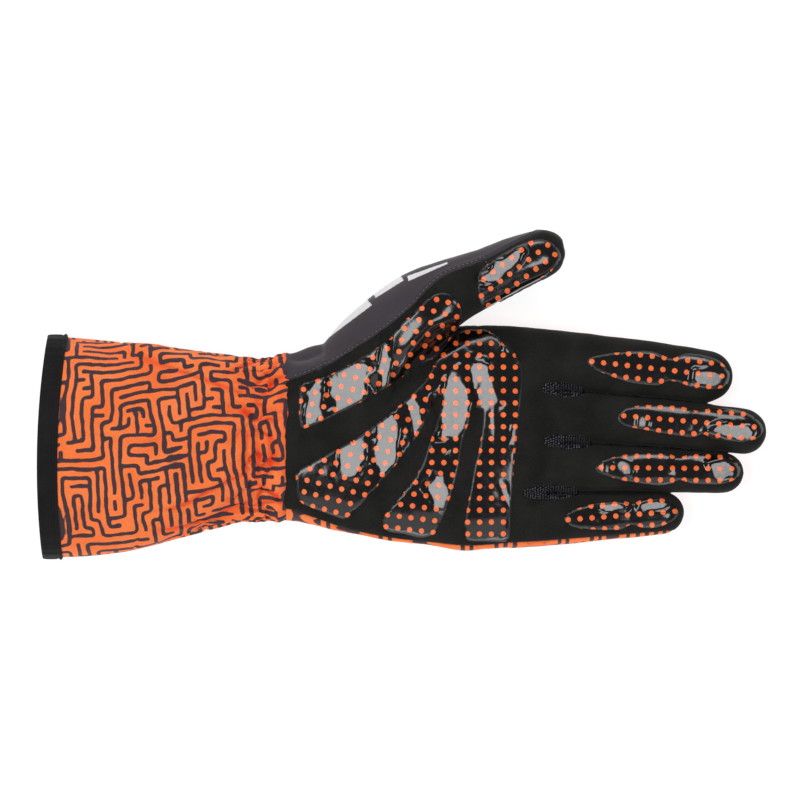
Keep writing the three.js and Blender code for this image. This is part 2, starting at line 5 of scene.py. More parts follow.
import bmesh
import bpy
import numpy as np
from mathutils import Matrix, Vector, noise
from mathutils.bvhtree import BVHTree
from mathutils.kdtree import KDTree


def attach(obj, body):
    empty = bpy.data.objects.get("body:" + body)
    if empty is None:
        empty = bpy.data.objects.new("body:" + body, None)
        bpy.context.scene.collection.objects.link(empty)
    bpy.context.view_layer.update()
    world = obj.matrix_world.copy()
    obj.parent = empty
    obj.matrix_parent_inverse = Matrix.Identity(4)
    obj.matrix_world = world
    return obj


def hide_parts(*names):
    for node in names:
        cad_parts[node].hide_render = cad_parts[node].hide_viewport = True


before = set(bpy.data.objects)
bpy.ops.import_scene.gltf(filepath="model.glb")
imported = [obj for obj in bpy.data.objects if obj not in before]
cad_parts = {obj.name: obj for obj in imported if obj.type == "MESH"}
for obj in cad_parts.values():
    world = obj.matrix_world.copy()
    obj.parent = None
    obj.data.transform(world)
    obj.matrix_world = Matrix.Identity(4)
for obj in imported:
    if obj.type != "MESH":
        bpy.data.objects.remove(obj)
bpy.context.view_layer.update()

# A left-hand karting glove on its back: printed gauntlet, suede palm, mesh finger sides and dotted grips.
# Shapes are worked out in millimetres in the hand's frame: X from the wrist seam to the fingertips, Y to the
# thumb side, Z up. A finished piece is moved to the part's frame, in metres.
METRE = 0.001
PART_ORIGIN = (47.69, 18.06, 0.0)

# Cloth thicknesses and the fineness of the meshes
HAND_WALL = 1.2
GAUNTLET_WALL = 1.0
VOXEL = 0.85
JOIN_SHRINK = 0.7
SEAM_ROLL = 0.55
SEAM_REACH = 1.5

# The hand's named sizes
PALM_LENGTH = 119.5
KNUCKLE_ROW = 90.4
PALM_HEIGHT = 27.0
LITTLE_DROP = 16.5
INDEX_DROP = 5.5
FINGER_HEIGHT = 19.0
WEB_REACH = 0.6
SEAM_SHARE = 0.46
SETTLE = 0.8
TOP_POWER = 2.2
BASE_POWER = 3.0

# along, thumb side, little side, height, kept at the closing end, suede's edge on the thumb and little sides
PALM_SECTIONS = [
    (-0.04, 0.39, 0.392, 0.92, 1.0, 0.66, 0.85),
    (0.0, 0.392, 0.392, 0.926, 1.0, 0.68, 0.865),
    (0.09, 0.43, 0.414, 0.95, 1.0, 0.716, 0.92),
    (0.19, 0.45, 0.444, 0.98, 1.0, 0.825, 0.962),
    (0.33, 0.47, 0.48, 1.0, 1.0, 1.03, 0.98),
    (0.5, 0.5, 0.508, 0.98, 1.0, 1.2, 0.98),
    (0.65, 0.522, 0.533, 0.93, 1.0, 1.2, 0.965),
    (0.79, 0.524, 0.527, 0.87, 1.0, 1.2, 0.95),
    (0.89, 0.514, 0.523, 0.79, 1.0, 1.2, 0.945),
    (0.95, 0.506, 0.518, 0.7, 1.0, 1.2, 0.94),
    (0.985, 0.488, 0.503, 0.7, 0.75, 1.2, 0.94),
    (1.0, 0.468, 0.485, 0.7, 0.4, 1.2, 0.94),
]

Finger = namedtuple("Finger", "name length width root_y lean curl taper pull thumb_seam little_seam gusset")
FINGERS = [
    Finger("index", 72.8, 24.7, 32.85, -0.095, -0.02, 0.85, 2.0, 1.2, 0.93, 17.6),
    Finger("middle", 84.4, 21.4, 9.0, -0.065, -0.024, 0.88, 1.5, 0.93, 0.93, 20.4),
    Finger("ring", 77.1, 20.6, -12.8, -0.01, -0.028, 0.82, 1.6, 0.93, 0.93, 24.0),
    Finger("little", 60.4, 22.7, -35.25, 0.06, 0.0, 0.78, 1.0, 0.93, 0.93, 0.0),
]
GUSSET_WIDTH = 5.6
FOURCHETTE_FOOT = 3.6

THUMB_ROOT = (20.4, 16.5)
THUMB_LENGTH = 118.0
THUMB_WIDTH = 44.0
THUMB_HEIGHT = 30.0
THUMB_RISE = 22.0
# forward and out from the root in shares of the length, half width, rise, height, suede's outer edge
THUMB_SECTIONS = [
    (-0.03, -0.035, 0.4, 0.5, 0.72, 0.88),
    (0.143, 0.16, 0.45, 0.7, 0.98, 0.34),
    (0.286, 0.303, 0.39, 0.85, 0.98, 0.2),
    (0.411, 0.382, 0.322, 0.93, 0.86, 0.5),
    (0.554, 0.443, 0.272, 0.98, 0.76, 0.56),
    (0.679, 0.5, 0.246, 1.0, 0.68, 0.7),
    (0.75, 0.524, 0.222, 1.0, 0.6, 0.85),
    (0.79, 0.536, 0.168, 1.0, 0.45, 1.0),
    (0.813, 0.541, 0.09, 1.0, 0.22, 1.0),
]

# Where the thumb's charcoal back meets the hand's printed back
BACK_SPLIT = [(-12, 13.5), (29, 17.5), (58, 29), (77, 44), (86, 51), (150, 60)]

# along from the wrist seam, width, height, drift towards the thumb, gather
GAUNTLET_SECTIONS = [
    (0.0, 70.8, 25.0, 0.0, 0.35),
    (5.9, 68.4, 24.2, -0.7, 0.9),
    (10.9, 68.0, 24.0, -1.4, 1.0),
    (17.8, 69.2, 24.6, -1.3, 0.95),
    (26.6, 72.3, 26.0, -1.4, 0.7),
    (37.5, 76.6, 27.6, -2.2, 0.42),
    (52.3, 82.0, 29.6, -3.5, 0.22),
    (65.1, 86.8, 31.4, -4.0, 0.14),
    (80.9, 90.9, 33.0, -4.3, 0.1),
    (98.6, 93.4, 34.0, -4.2, 0.05),
]
GAUNTLET_LENGTH = 98.6
HEM_WIDTH = 8.8
HEM_THICK = 2.3
HEM_PROUD = 0.6
HEM_BOW = 2.9
HEM_SKEW = 1.07
HEM_SHIFT = 1.15

# Outlines of the silicone grips, seen from above
THENAR_GRIP = [
    (5.1, 22.1), (10.2, 24), (16.2, 25.9), (22.5, 28.9), (29.1, 32.7), (35.7, 36.6), (42.1, 41.2),
    (48.5, 48.5), (53.6, 53.2), (58.3, 57.8), (62.1, 60.4), (65.1, 61.2), (68.5, 60.8), (71, 58.9),
    (73.1, 55.7), (74.2, 50.8), (73.1, 47.8), (71, 44.6), (68.5, 40), (63.4, 34.4), (55.1, 29.9),
    (45.9, 23.6), (31.9, 15.3), (24.7, 11.5), (17.7, 8.1), (10.6, 4.9), (6.6, 3.6), (5.3, 5.1), (4.7, 9.4),
    (4.7, 15.7),
]
PALM_GRIP = [
    (3.8, -14.9), (10.2, -10.8), (21.3, -4.7), (28.9, -0.4), (36.1, 4.7), (41.7, 8.9), (45.9, 12.3),
    (51.9, 17.4), (57.2, 23), (60.4, 27.6), (63.4, 34.4), (66.8, 39.5), (70.2, 42.9), (75.1, 45.3),
    (79.9, 45.7), (84.6, 45.4), (89.2, 42.7), (91.4, 40.2), (94, 38.1), (96.4, 35.6), (98.2, 32.7),
    (99.8, 28.1), (99.8, 23.4), (99.5, 18.3), (98.2, 7.2), (96.9, -3.8), (96, -12.3), (95.2, -26.8),
    (94.6, -37), (94.2, -42.1), (92.7, -44.4), (85.9, -44.4), (77.4, -44.2), (75.7, -43.8), (75.2, -41.7),
    (74.8, -37.8), (65.1, -40.8), (62.9, -41.1), (56.6, -42.7), (49.7, -41.2), (43.4, -40.2),
    (40.6, -38.5), (39.5, -34.4), (32.7, -34.4), (26.2, -33.8), (23.8, -34.8), (20.8, -34), (14.5, -31.7),
    (8.1, -29.2), (5.3, -27.6), (3.8, -24.7), (3.6, -20),
]
ULNAR_STRIP = [
    (26.2, -39.5), (26.2, -33.6), (29.3, -30.2), (32.7, -26.8), (36.6, -22.5), (40.3, -18.3), (44.1, -14),
    (47.6, -9.6), (50.9, -5.3), (54.4, -0.4), (57.8, 5.3), (60.6, 11.1), (62.9, 16.8), (64.2, 18),
    (65.4, 17.2), (65.6, 15.3), (64.2, 9.5), (62.3, 3.4), (60, -2.6), (58.3, -7.7), (56.6, -12.3),
    (53.2, -18.1), (48.8, -23.6), (45.5, -27.6), (42.1, -31.9), (39.3, -34.7), (39.1, -39.5),
]
MIDDLE_STRIP = [
    (62.9, -45.9), (62.9, -40), (65.1, -35.7), (67.1, -30.6), (68.5, -26.8), (69.9, -23), (71.4, -17.9),
    (72.7, -12.3), (73.6, -6.8), (74.4, -1.3), (75.7, 3), (77, 6.8), (77.6, 10.8), (78.9, 12.2),
    (80.8, 12.3), (82.5, 11.3), (82.8, 9.4), (82.3, 3.1), (80.8, -6.4), (79.1, -12.3), (77.4, -22.5),
    (75.7, -31.9), (74.8, -37.8), (74.6, -45.9),
]
INDEX_GRIP = [
    (127, 32.8), (129.3, 34.2), (135.6, 35.5), (141.2, 36.1), (147.1, 36.6), (151.8, 36.7), (156, 36.1),
    (159.5, 34.7), (163, 33.4), (165.8, 34.4), (169.1, 35.5), (174.3, 35.2), (179.7, 34), (183.3, 32.5),
    (185.8, 30.2), (187.5, 27.9), (187.7, 25.6), (186.6, 22), (183.7, 20.6), (180.5, 20.3), (175.2, 20.6),
    (171.4, 21), (168, 22.5), (165, 23.5), (161.6, 23.8), (159, 22.7), (156.9, 21.8), (152.2, 22.1),
    (147.1, 22.7), (142.4, 23.8), (134.8, 26.8), (131.4, 28.1), (128.4, 29.8), (127, 31.5),
]
MIDDLE_GRIP = [
    (139.9, 8.5), (141, 10.8), (143.3, 12.3), (148.6, 13.4), (156, 13.7), (166.1, 13.2), (170.9, 12),
    (174.3, 11.2), (179, 12.1), (185, 12.3), (190.5, 11.7), (194.9, 10.4), (198.1, 8.5), (201, 6),
    (202.2, 3), (201.1, 0.6), (199.4, -0.6), (194.1, -2.1), (187.9, -1.8), (181.1, -0.9), (178.2, 0.4),
    (175.9, 1.3), (172.2, -0.2), (165, 0.6), (158.5, 1.7), (148.6, 3.6), (144.6, 4.3), (141.4, 5.7),
    (140.1, 7),
]
RING_GRIP = [
    (130.4, -13.2), (132.2, -10.8), (134.8, -9.4), (143.3, -7.4), (149.7, -6.8), (155.5, -6.7),
    (159.9, -6.8), (163, -7.4), (166.1, -8.5), (170.5, -7.4), (177.7, -7.1), (185, -7.7), (188.4, -9.1),
    (191.1, -11.1), (192.4, -13.9), (191.6, -16.6), (189.6, -18.3), (184.1, -20), (177.3, -20),
    (170.5, -19.6), (168, -18.5), (165.4, -18.5), (162.3, -20.3), (156.9, -20.7), (150.9, -20),
    (141.6, -18.3), (134.8, -16.2), (131.4, -14.9),
]
LITTLE_GRIP = [
    (116.9, -35.1), (118.2, -33), (120.3, -31.3), (128, -28.7), (135.6, -27.6), (143.3, -27.3),
    (146.7, -28.1), (150.9, -26.2), (156.5, -25.8), (160.7, -26.4), (163.3, -27.9), (165, -29.8),
    (166.1, -32.1), (165, -34.2), (163, -35.9), (157.7, -38.2), (153.9, -38.7), (150.1, -38.4),
    (145.8, -37.2), (141.6, -39.2), (136.1, -39.5), (131, -39.3), (122.9, -38.6), (119.1, -37.2),
]
THUMB_GRIP = [
    (80.8, 69.5), (83.3, 72.3), (85.9, 74.4), (91.2, 78), (94.8, 79.9), (98.6, 81.6), (102, 82.9),
    (105.6, 83.8), (108, 83.8), (110.1, 83.3), (112.7, 81.9), (114.6, 79.9), (115.9, 77), (115.2, 74.4),
    (113.1, 71.9), (109.7, 68), (106.3, 64.6), (102.5, 62.5), (98.6, 60.6), (94.4, 58.3), (90.4, 56.1),
    (87.6, 54.6), (85, 53.9), (82.7, 54.9), (81.4, 57.4), (80.6, 61.7), (80.4, 65.7),
]

# Folds of the palm side: points along the fold, depth (below zero for a ridge), width, sharpness
PALM_FOLDS = [
    ([(53, 6), (88, 8)], 2.0, 15.0, 2.0),
    ([(44, 18), (52, 30), (60, 37), (70, 44), (76, 50)], 2.6, 4.0, 1.5),
    ([(50, 28), (50, 36), (54, 43), (61, 49), (73, 51)], -1.4, 3.2, 1.8),
    ([(58, 38), (63, 45), (71, 47)], 1.2, 2.2, 1.6),
    ([(54, 30), (54.5, 12), (52, -8)], 0.6, 2.0, 1.6),
    ([(107, 42), (110, 20), (111, -8), (104, -40)], 0.6, 3.4, 1.7),
    ([(111, 20.6), (118, 19.8), (126, 18.6)], 1.3, 0.9, 1.6),
    ([(113, -1.6), (121, -2.4), (130, -3.4)], 1.3, 0.9, 1.6),
    ([(106, -23), (114, -23.8), (124, -25)], 1.3, 0.9, 1.6),
    ([(120, 19.4), (150, 17.2), (183, 14.4)], 0.9, 1.0, 1.6),
    ([(124, -2.4), (158.8, -4.1), (190, -6.5)], 0.9, 1.0, 1.6),
    ([(119, -23.2), (144, -22.6), (164.3, -24.1)], 0.9, 1.0, 1.6),
    ([(124, 21.3), (150, 19.4), (180, 16.9)], -0.5, 0.95, 1.8),
    ([(127, -0.4), (158.8, -2.0), (186, -4.3)], -0.5, 0.95, 1.8),
    ([(121, -21.0), (144, -20.4), (162, -21.9)], -0.5, 0.95, 1.8),
    ([(112, 30), (118, 36), (122, 45)], 0.6, 3.0, 1.6),
    ([(126, 22), (127, 32), (124, 44)], 0.5, 2.6, 1.6),
    ([(130, 14), (131, 5), (128, -3)], 0.5, 2.6, 1.6),
    ([(126, -6), (127, -14), (124, -23)], 0.5, 2.6, 1.6),
    ([(161, 36), (162, 28), (161, 18)], 0.4, 2.6, 1.7),
    ([(172, 14), (173, 6), (172, -2)], 0.4, 2.6, 1.7),
    ([(164, -6), (165, -13), (164, -22)], 0.4, 2.6, 1.7),
    ([(145, -24), (146, -33), (144, -42)], 0.4, 2.6, 1.7),
    ([(0, 33), (8, 34), (16, 37)], 2.4, 2.6, 1.6),
    ([(0, 29), (10, 29.5), (18, 33)], -1.0, 3.0, 1.8),
]

# Flat facets of the stiff silicone: middle, half width, half length, turn, tilt along X and along Y
TO_LEFT = (0.212, 0.007)
TO_RIGHT = (-0.266, 0.107)
PALM_FACETS = [
    (11.2, 14.9, 3.0, 12.0, 77, *TO_LEFT),
    (26.5, 21.3, 7.2, 12.0, 80, *TO_LEFT),
    (41.4, 31.0, 2.6, 11.5, 90, *TO_LEFT),
    (27.3, -7.8, 5.6, 8.6, 84, *TO_LEFT),
    (42.0, -2.4, 5.0, 13.5, 85, *TO_LEFT),
    (54.3, 9.0, 3.3, 12.0, 102, *TO_LEFT),
    (71.0, 12.5, 6.8, 13.5, 82, *TO_LEFT),
    (83.2, 21.3, 4.9, 11.0, 112, *TO_LEFT),
    (64.6, -24.4, 4.6, 7.6, 128, *TO_LEFT),
    (91.2, 72.0, 3.0, 10.5, 37, *TO_LEFT),
    (95.0, 35.9, 1.7, 4.4, 132, *TO_RIGHT),
    (96.2, 0.8, 1.4, 4.6, 88, *TO_RIGHT),
    (93.2, -25.6, 1.5, 5.4, 112, *TO_RIGHT),
    (178.9, 25.2, 3.3, 6.6, -8, *TO_RIGHT),
    (189.8, 2.6, 3.2, 8.8, -8, *TO_RIGHT),
    (184.1, -13.6, 4.2, 5.0, 4, *TO_RIGHT),
    (155.0, -29.0, 2.3, 5.6, 4, *TO_RIGHT),
    (150.9, 6.5, 2.6, 2.9, 90, *TO_LEFT),
    (133.6, -12.8, 1.7, 2.8, 90, *TO_LEFT),
    (142.6, -12.8, 2.8, 4.2, 0, *TO_LEFT),
    (136.7, -29.6, 1.9, 6.5, 4, *TO_LEFT),
]

# Folds of the cuff, as for the palm
GAUNTLET_FOLDS = [
    ([(-96, 44), (-70, 36), (-48, 22), (-30, 14)], 1.6, 4.5, 1.6),
    ([(-84, 47), (-60, 39), (-34, 24)], -1.0, 5.0, 1.8),
    ([(-52, -46), (-34, -34), (-18, -22), (-8, -12)], 1.9, 3.6, 1.5),
    ([(-40, -42), (-24, -33), (-10, -22)], 1.4, 2.8, 1.5),
    ([(-46, -40), (-28, -29), (-14, -17)], -1.0, 3.2, 1.8),
    ([(-70, -6), (-52, -2), (-36, 4), (-22, 8)], 0.8, 5.0, 1.7),
    ([(-34, 34), (-20, 26), (-8, 18)], 1.2, 3.4, 1.6),
    ([(-26, 0), (-12, 1), (-2, 2)], 1.2, 2.6, 1.5),
    ([(-30, 12), (-14, 10), (-2, 11)], 1.1, 2.6, 1.5),
    ([(-24, -12), (-10, -9), (-2, -8)], 1.1, 2.4, 1.5),
    ([(-20, 20), (-10, 22), (-2, 24)], 1.0, 2.4, 1.5),
    ([(-62, 30), (-40, 30), (-16, 27)], -0.6, 6.0, 2.0),
]

# Sharp creases of the printed cloth near the wrist
CUFF_CREASES = [
    [(-67.6, 37.9), (-55.4, 31.4), (-27.7, 21.6), (-12.3, 15.1)],
    [(-37.5, -25.5), (-27.7, -19.8), (-16.3, -15.0)],
    [(-51.3, -31.2), (-40.7, -27.2), (-33.0, -21.5)],
    [(-57.0, -39.4), (-46.4, -38.6), (-32.6, -35.3), (-22.0, -30.4), (-13.1, -26.4)],
    [(-13.1, -19.9), (-7.4, -23.1), (-1.5, -28.0)],
    [(-14.0, 14.0), (-9.0, 20.0), (-5.8, 24.1), (-0.9, 25.7)],
    [(-15.0, 21.5), (-8.2, 27.3), (-4.1, 31.4)],
    [(-13.1, -1.0), (-12.3, -10.9), (-13.1, -20.0)],
    [(-8.2, 2.3), (-7.0, -8.0), (-9.0, -17.4)],
    [(-17.1, 2.3), (-18.5, -7.0), (-18.0, -15.0)],
    [(-21.0, 12.0), (-11.0, 7.0), (-2.5, 8.5)],
    [(-24.0, 29.0), (-16.0, 31.0), (-8.0, 34.0)],
]


def column_spline(rows, at):
    """Every column of a table, smoothly between its rows, at the places `at` along the first column."""
    rows = np.asarray(rows, float)
    xs = rows[:, 0]
    slopes = np.gradient(rows[:, 1:], xs, axis=0)
    at = np.clip(at, xs[0], xs[-1])
    k = np.clip(np.searchsorted(xs, at, side="right") - 1, 0, len(xs) - 2)
    run = (xs[k + 1] - xs[k])[:, None]
    t = (at - xs[k])[:, None] / run
    low, high = rows[k, 1:], rows[k + 1, 1:]
    return (
        (2 * t**3 - 3 * t**2 + 1) * low
        + (t**3 - 2 * t**2 + t) * run * slopes[k]
        + (3 * t**2 - 2 * t**3) * high
        + (t**3 - t**2) * run * slopes[k + 1]
    )


def smooth_curve(points, step, closed=False):
    """Points every `step` along a curve through the given points."""
    points = [Vector(p) for p in points]
    n = len(points)
    out = []
    for i in range(n if closed else n - 1):
        a = points[(i - 1) % n] if closed or i else points[0]
        b, c = points[i], points[(i + 1) % n]
        d = points[(i + 2) % n] if closed or i < n - 2 else points[-1]
        pieces = max(1, round((c - b).length / step))
        for s in range(pieces):
            t = s / pieces
            square, cube = 2 * a - 5 * b + 4 * c - d, 3 * b - a - 3 * c + d
            out.append(0.5 * (2 * b + (c - a) * t + square * t**2 + cube * t**3))
    if not closed:
        out.append(points[-1])
    return out


def new_piece(name, mesh):
    piece = bpy.data.objects.new(name, mesh)
    bpy.context.scene.collection.objects.link(piece)
    return piece


def piece_from(bm, name):
    """A new piece with the shape of a bmesh, which is freed."""
    mesh = bpy.data.meshes.new(name)
    bm.to_mesh(mesh)
    bm.free()
    return new_piece(name, mesh)


def drop(*pieces):
    for piece in pieces:
        bpy.data.objects.remove(piece)


def bake(piece):
    """Applies a piece's modifiers to its mesh."""
    graph = bpy.context.evaluated_depsgraph_get()
    mesh = bpy.data.meshes.new_from_object(piece.evaluated_get(graph))
    piece.modifiers.clear()
    piece.data = mesh
    return piece


def places(mesh, field="co"):
    """The mesh's vertex places or normals as an array."""
    flat = np.empty(3 * len(mesh.vertices), np.float32)
    mesh.vertices.foreach_get(field, flat)
    return flat.reshape(-1, 3).astype(float)


def move_to(mesh, co):
    mesh.vertices.foreach_set("co", co.astype(np.float32).ravel())
    mesh.update()


def loft(name, rings, closed=False, ends=True):
    """A skin over rings of points, capped at both ends, left open, or joined end to end when closed."""
    rows, cols = len(rings), len(rings[0])
    bm = bmesh.new()
    bmesh.ops.create_grid(bm, x_segments=rows - 1, y_segments=cols, size=1.0)
    row, col = bm.verts.layers.float.new("row"), bm.verts.layers.float.new("col")
    for v in bm.verts:
        i = round((v.co.x + 1) / 2 * (rows - 1))
        j = round((v.co.y + 1) / 2 * cols) % cols
        v[row], v[col] = i, j
        v.co = rings[i][j]
    bmesh.ops.remove_doubles(bm, verts=bm.verts, dist=1e-4)
    if ends and not closed:
        bmesh.ops.holes_fill(bm, edges=[e for e in bm.edges if e.is_boundary], sides=0)
    bmesh.ops.recalc_face_normals(bm, faces=bm.faces)
    return piece_from(bm, name)


def prism(name, outline, low=-5.0, high=60.0):
    """A block over a closed outline in the plan."""
    bm = bmesh.new()
    corners = [bm.verts.new((p[0], p[1], low)) for p in outline]
    bm.faces.new(corners)
    made = bmesh.ops.extrude_face_region(bm, geom=bm.faces[:])["geom"]
    raised = [v for v in made if isinstance(v, bmesh.types.BMVert)]
    bmesh.ops.translate(bm, verts=raised, vec=(0, 0, high - low))
    bmesh.ops.recalc_face_normals(bm, faces=bm.faces)
    bmesh.ops.triangulate(bm, faces=bm.faces)
    return piece_from(bm, name)


def carve(piece, tool, operation, keep_tool=False):
    """Cuts or joins a piece with a tool, whose faces are marked by the second material."""
    for part, index in ((piece, None), (tool, 1)):
        while len(part.data.materials) < 2:
            part.data.materials.append(None)
        if index is not None:
            part.data.polygons.foreach_set("material_index", [index] * len(part.data.polygons))
    cut = piece.modifiers.new("cut", "BOOLEAN")
    cut.operation = operation
    cut.solver = "MANIFOLD"
    cut.object = tool
    bake(piece)
    if not keep_tool:
        drop(tool)
    return piece


def union(name, pieces):
    """Joins pieces into the first, under a new name."""
    first = pieces[0]
    first.name = name
    for other in pieces[1:]:
        carve(first, other, "UNION")
    return first


def copy_of(piece, name):
    return new_piece(name, piece.data.copy())


def signed_power(x, power):
    return np.sign(x) * np.abs(x) ** power


def oval(centre, heading, left, right, top, base, sides, grow):
    """One cross-section of the hand: a rounded box, squarer below its seam than above."""
    turn = np.linspace(0, 2 * math.pi, sides, endpoint=False)
    across, up = np.cos(turn), np.sin(turn)
    power = np.where(up > 0, 2 / TOP_POWER, 2 / BASE_POWER)
    y = signed_power(across, power) * (np.where(across > 0, left, right) + grow)
    z = signed_power(up, power) * (np.where(up > 0, top, base) + grow)
    return np.stack(
        [centre[0] - y * math.sin(heading), centre[1] + y * math.cos(heading), centre[2] + z], axis=1
    )


def front_ring(centre, heading, outer, inner, foot, top=60.0):
    """Four corners of a wall that stands on the palm side between two seams."""
    def corner(y, z):
        return (centre[0] - y * math.sin(heading), centre[1] + y * math.cos(heading), z)
    return [corner(outer, foot), corner(outer, top), corner(inner, top), corner(inner, foot)]


def knuckle_fall(y):
    """How far the knuckle line lies behind the palm's full length."""
    side = 2 * np.asarray(y) / KNUCKLE_ROW
    return np.where(side > 0, INDEX_DROP * side, LITTLE_DROP * np.abs(side) ** 1.2)


def smoothstep(x, low, high):
    t = np.clip((np.asarray(x) - low) / (high - low), 0, 1)
    return t * t * (3 - 2 * t)


def palm_sections(count=60):
    along = np.linspace(PALM_SECTIONS[0][0], 1.0, count)
    rows = column_spline(PALM_SECTIONS, along)
    for a, (thumb, little, height, keep, thumb_seam, little_seam) in zip(along, rows):
        tall = height * PALM_HEIGHT
        seam = tall * SEAM_SHARE
        yield {
            "centre": (a * PALM_LENGTH, 0.0, seam), "heading": 0.0,
            "left": thumb * KNUCKLE_ROW, "right": little * KNUCKLE_ROW,
            "top": (tall - seam) * keep, "base": (seam + SETTLE) * keep,
            "thumb_seam": thumb_seam, "little_seam": little_seam,
        }


def finger_root(finger):
    """Where a finger starts along the hand, on the bowed line of the knuckles."""
    return PALM_LENGTH - float(knuckle_fall(finger.root_y))


def finger_section(finger, distance, keep=1.0):
    share = distance / finger.length
    run = max(0.0, share)
    half = finger.width / 2 * (1 + (finger.taper - 1) * run**finger.pull) * keep
    tall = FINGER_HEIGHT * (1 - 0.18 * run)
    seam = tall * SEAM_SHARE
    y = finger.root_y + finger.length * (finger.lean * share + finger.curl * run * run)
    return {
        "centre": (finger_root(finger) + distance, y, seam),
        "heading": math.atan(finger.lean + 2 * finger.curl * run),
        "left": half, "right": half, "top": (tall - seam) * keep, "base": (seam + SETTLE) * keep,
        "thumb_seam": finger.thumb_seam, "little_seam": finger.little_seam,
    }


def finger_sections(finger):
    """A finger from inside the palm to its rounded tip."""
    tip = finger.width / 2 * finger.taper
    shaft = finger.length - tip
    stations = [finger_section(finger, -0.35 * shaft, 0.86)]
    stations += [finger_section(finger, s) for s in np.linspace(-0.25 * shaft, shaft, 36)]
    for turn in np.linspace(0, math.pi / 2, 9)[1:]:
        keep = max(0.06, math.cos(turn) ** 0.85)
        stations.append(finger_section(finger, shaft + tip * math.sin(turn), keep))
    return stations


def thumb_sections(count=54):
    steps = np.linspace(0, len(THUMB_SECTIONS) - 1, count)
    table = [(i, *row) for i, row in enumerate(THUMB_SECTIONS)]
    rows = column_spline(table, steps)
    centres = np.array([
        (THUMB_ROOT[0] + f * THUMB_LENGTH, THUMB_ROOT[1] + o * THUMB_LENGTH, rise * THUMB_RISE)
        for f, o, _, rise, _, _ in rows
    ])
    run = np.gradient(centres, axis=0)
    for centre, way, (_, _, half, _, height, seam) in zip(centres, run, rows):
        yield {
            "centre": tuple(centre), "heading": math.atan2(way[1], way[0]),
            "left": half * THUMB_WIDTH, "right": half * THUMB_WIDTH,
            "top": height * THUMB_HEIGHT / 2, "base": height * THUMB_HEIGHT / 2,
            "thumb_seam": seam, "little_seam": 1.2,
        }


def section_rings(sections, sides):
    """The sections' ovals, a little slimmer than the glove so that it can be relaxed and grown again."""
    keys = ("centre", "heading", "left", "right", "top", "base")
    return [oval(*[s[k] for k in keys], sides, -JOIN_SHRINK if s["top"] > 2 else 0) for s in sections]


def fold_relief(folds, co):
    """How far the folds press in each point of an array, seen from above."""
    depth = np.zeros(len(co))
    for points, deep, width, sharp in folds:
        line = np.array([p[:] for p in smooth_curve([(*p, 0) for p in points], 3.0)])[:, :2]
        best = np.full(len(co), 1e9)
        where = np.zeros(len(co))
        for i, (a, b) in enumerate(zip(line[:-1], line[1:])):
            run = b - a
            t = np.clip(((co[:, :2] - a) @ run) / (run @ run), 0, 1)
            away = np.linalg.norm(co[:, :2] - a - t[:, None] * run, axis=1)
            near = away < best
            best = np.where(near, away, best)
            where = np.where(near, (i + t) / (len(line) - 1), where)
        fade = np.sin(math.pi * np.clip(where, 0.02, 0.98)) ** 0.6
        depth += deep * fade * np.exp(-((best / width) ** sharp))
    return depth


def ripple(co, size, seed, stretch=(1, 1, 1)):
    """Soft noise over an array of points, about -1 to 1."""
    scaled = co * np.array(stretch) / size + seed
    return np.array([noise.noise(Vector(p)) for p in scaled])


def finger_contact(co):
    """1 on the sides where neighbouring fingers lie against each other, 0 elsewhere."""
    touch = np.zeros(len(co))
    for upper, lower in zip(FINGERS[:-1], FINGERS[1:]):
        reach = min(finger_root(upper) + upper.length, finger_root(lower) + lower.length) - 6
        run = np.clip((co[:, 0] - finger_root(upper)) / upper.length, 0, 1)
        line_y = (upper.root_y - upper.width / 2 + lower.root_y + lower.width / 2) / 2
        line_y = line_y + (upper.lean + lower.lean) / 2 * (co[:, 0] - finger_root(upper))
        line_y = line_y + upper.length * upper.curl * run * run
        near = 1 - smoothstep(np.abs(co[:, 1] - line_y), 3.5, 6)
        near = near * smoothstep(co[:, 0], 112, 118) * (1 - smoothstep(co[:, 0], reach - 6, reach))
        touch = np.maximum(touch, near)
    return touch


def flatten_facets(co, upward):
    """Pulls the palm side to a flat tilted plane within each facet."""
    uneven = 1 + 0.34 * ripple(co, 5.5, 13.0) + 0.12 * ripple(co, 2.4, 29.0)
    for x, y, wide, long, turn, tilt_x, tilt_y in PALM_FACETS:
        turn = math.radians(turn)
        dx, dy = co[:, 0] - x, co[:, 1] - y
        along = np.abs(dx * math.cos(turn) + dy * math.sin(turn)) / long
        aside = np.abs(dy * math.cos(turn) - dx * math.sin(turn)) / wide
        reach = uneven * (along**2.6 + aside**2.6) ** (1 / 2.6)
        held = upward & (reach < 0.5)
        plane = co[held, 2].mean() + tilt_x * dx + tilt_y * dy
        hold = 0.94 * upward * (1 - smoothstep(reach, 0.9, 1.4))
        co[:, 2] += hold * (plane - co[:, 2])


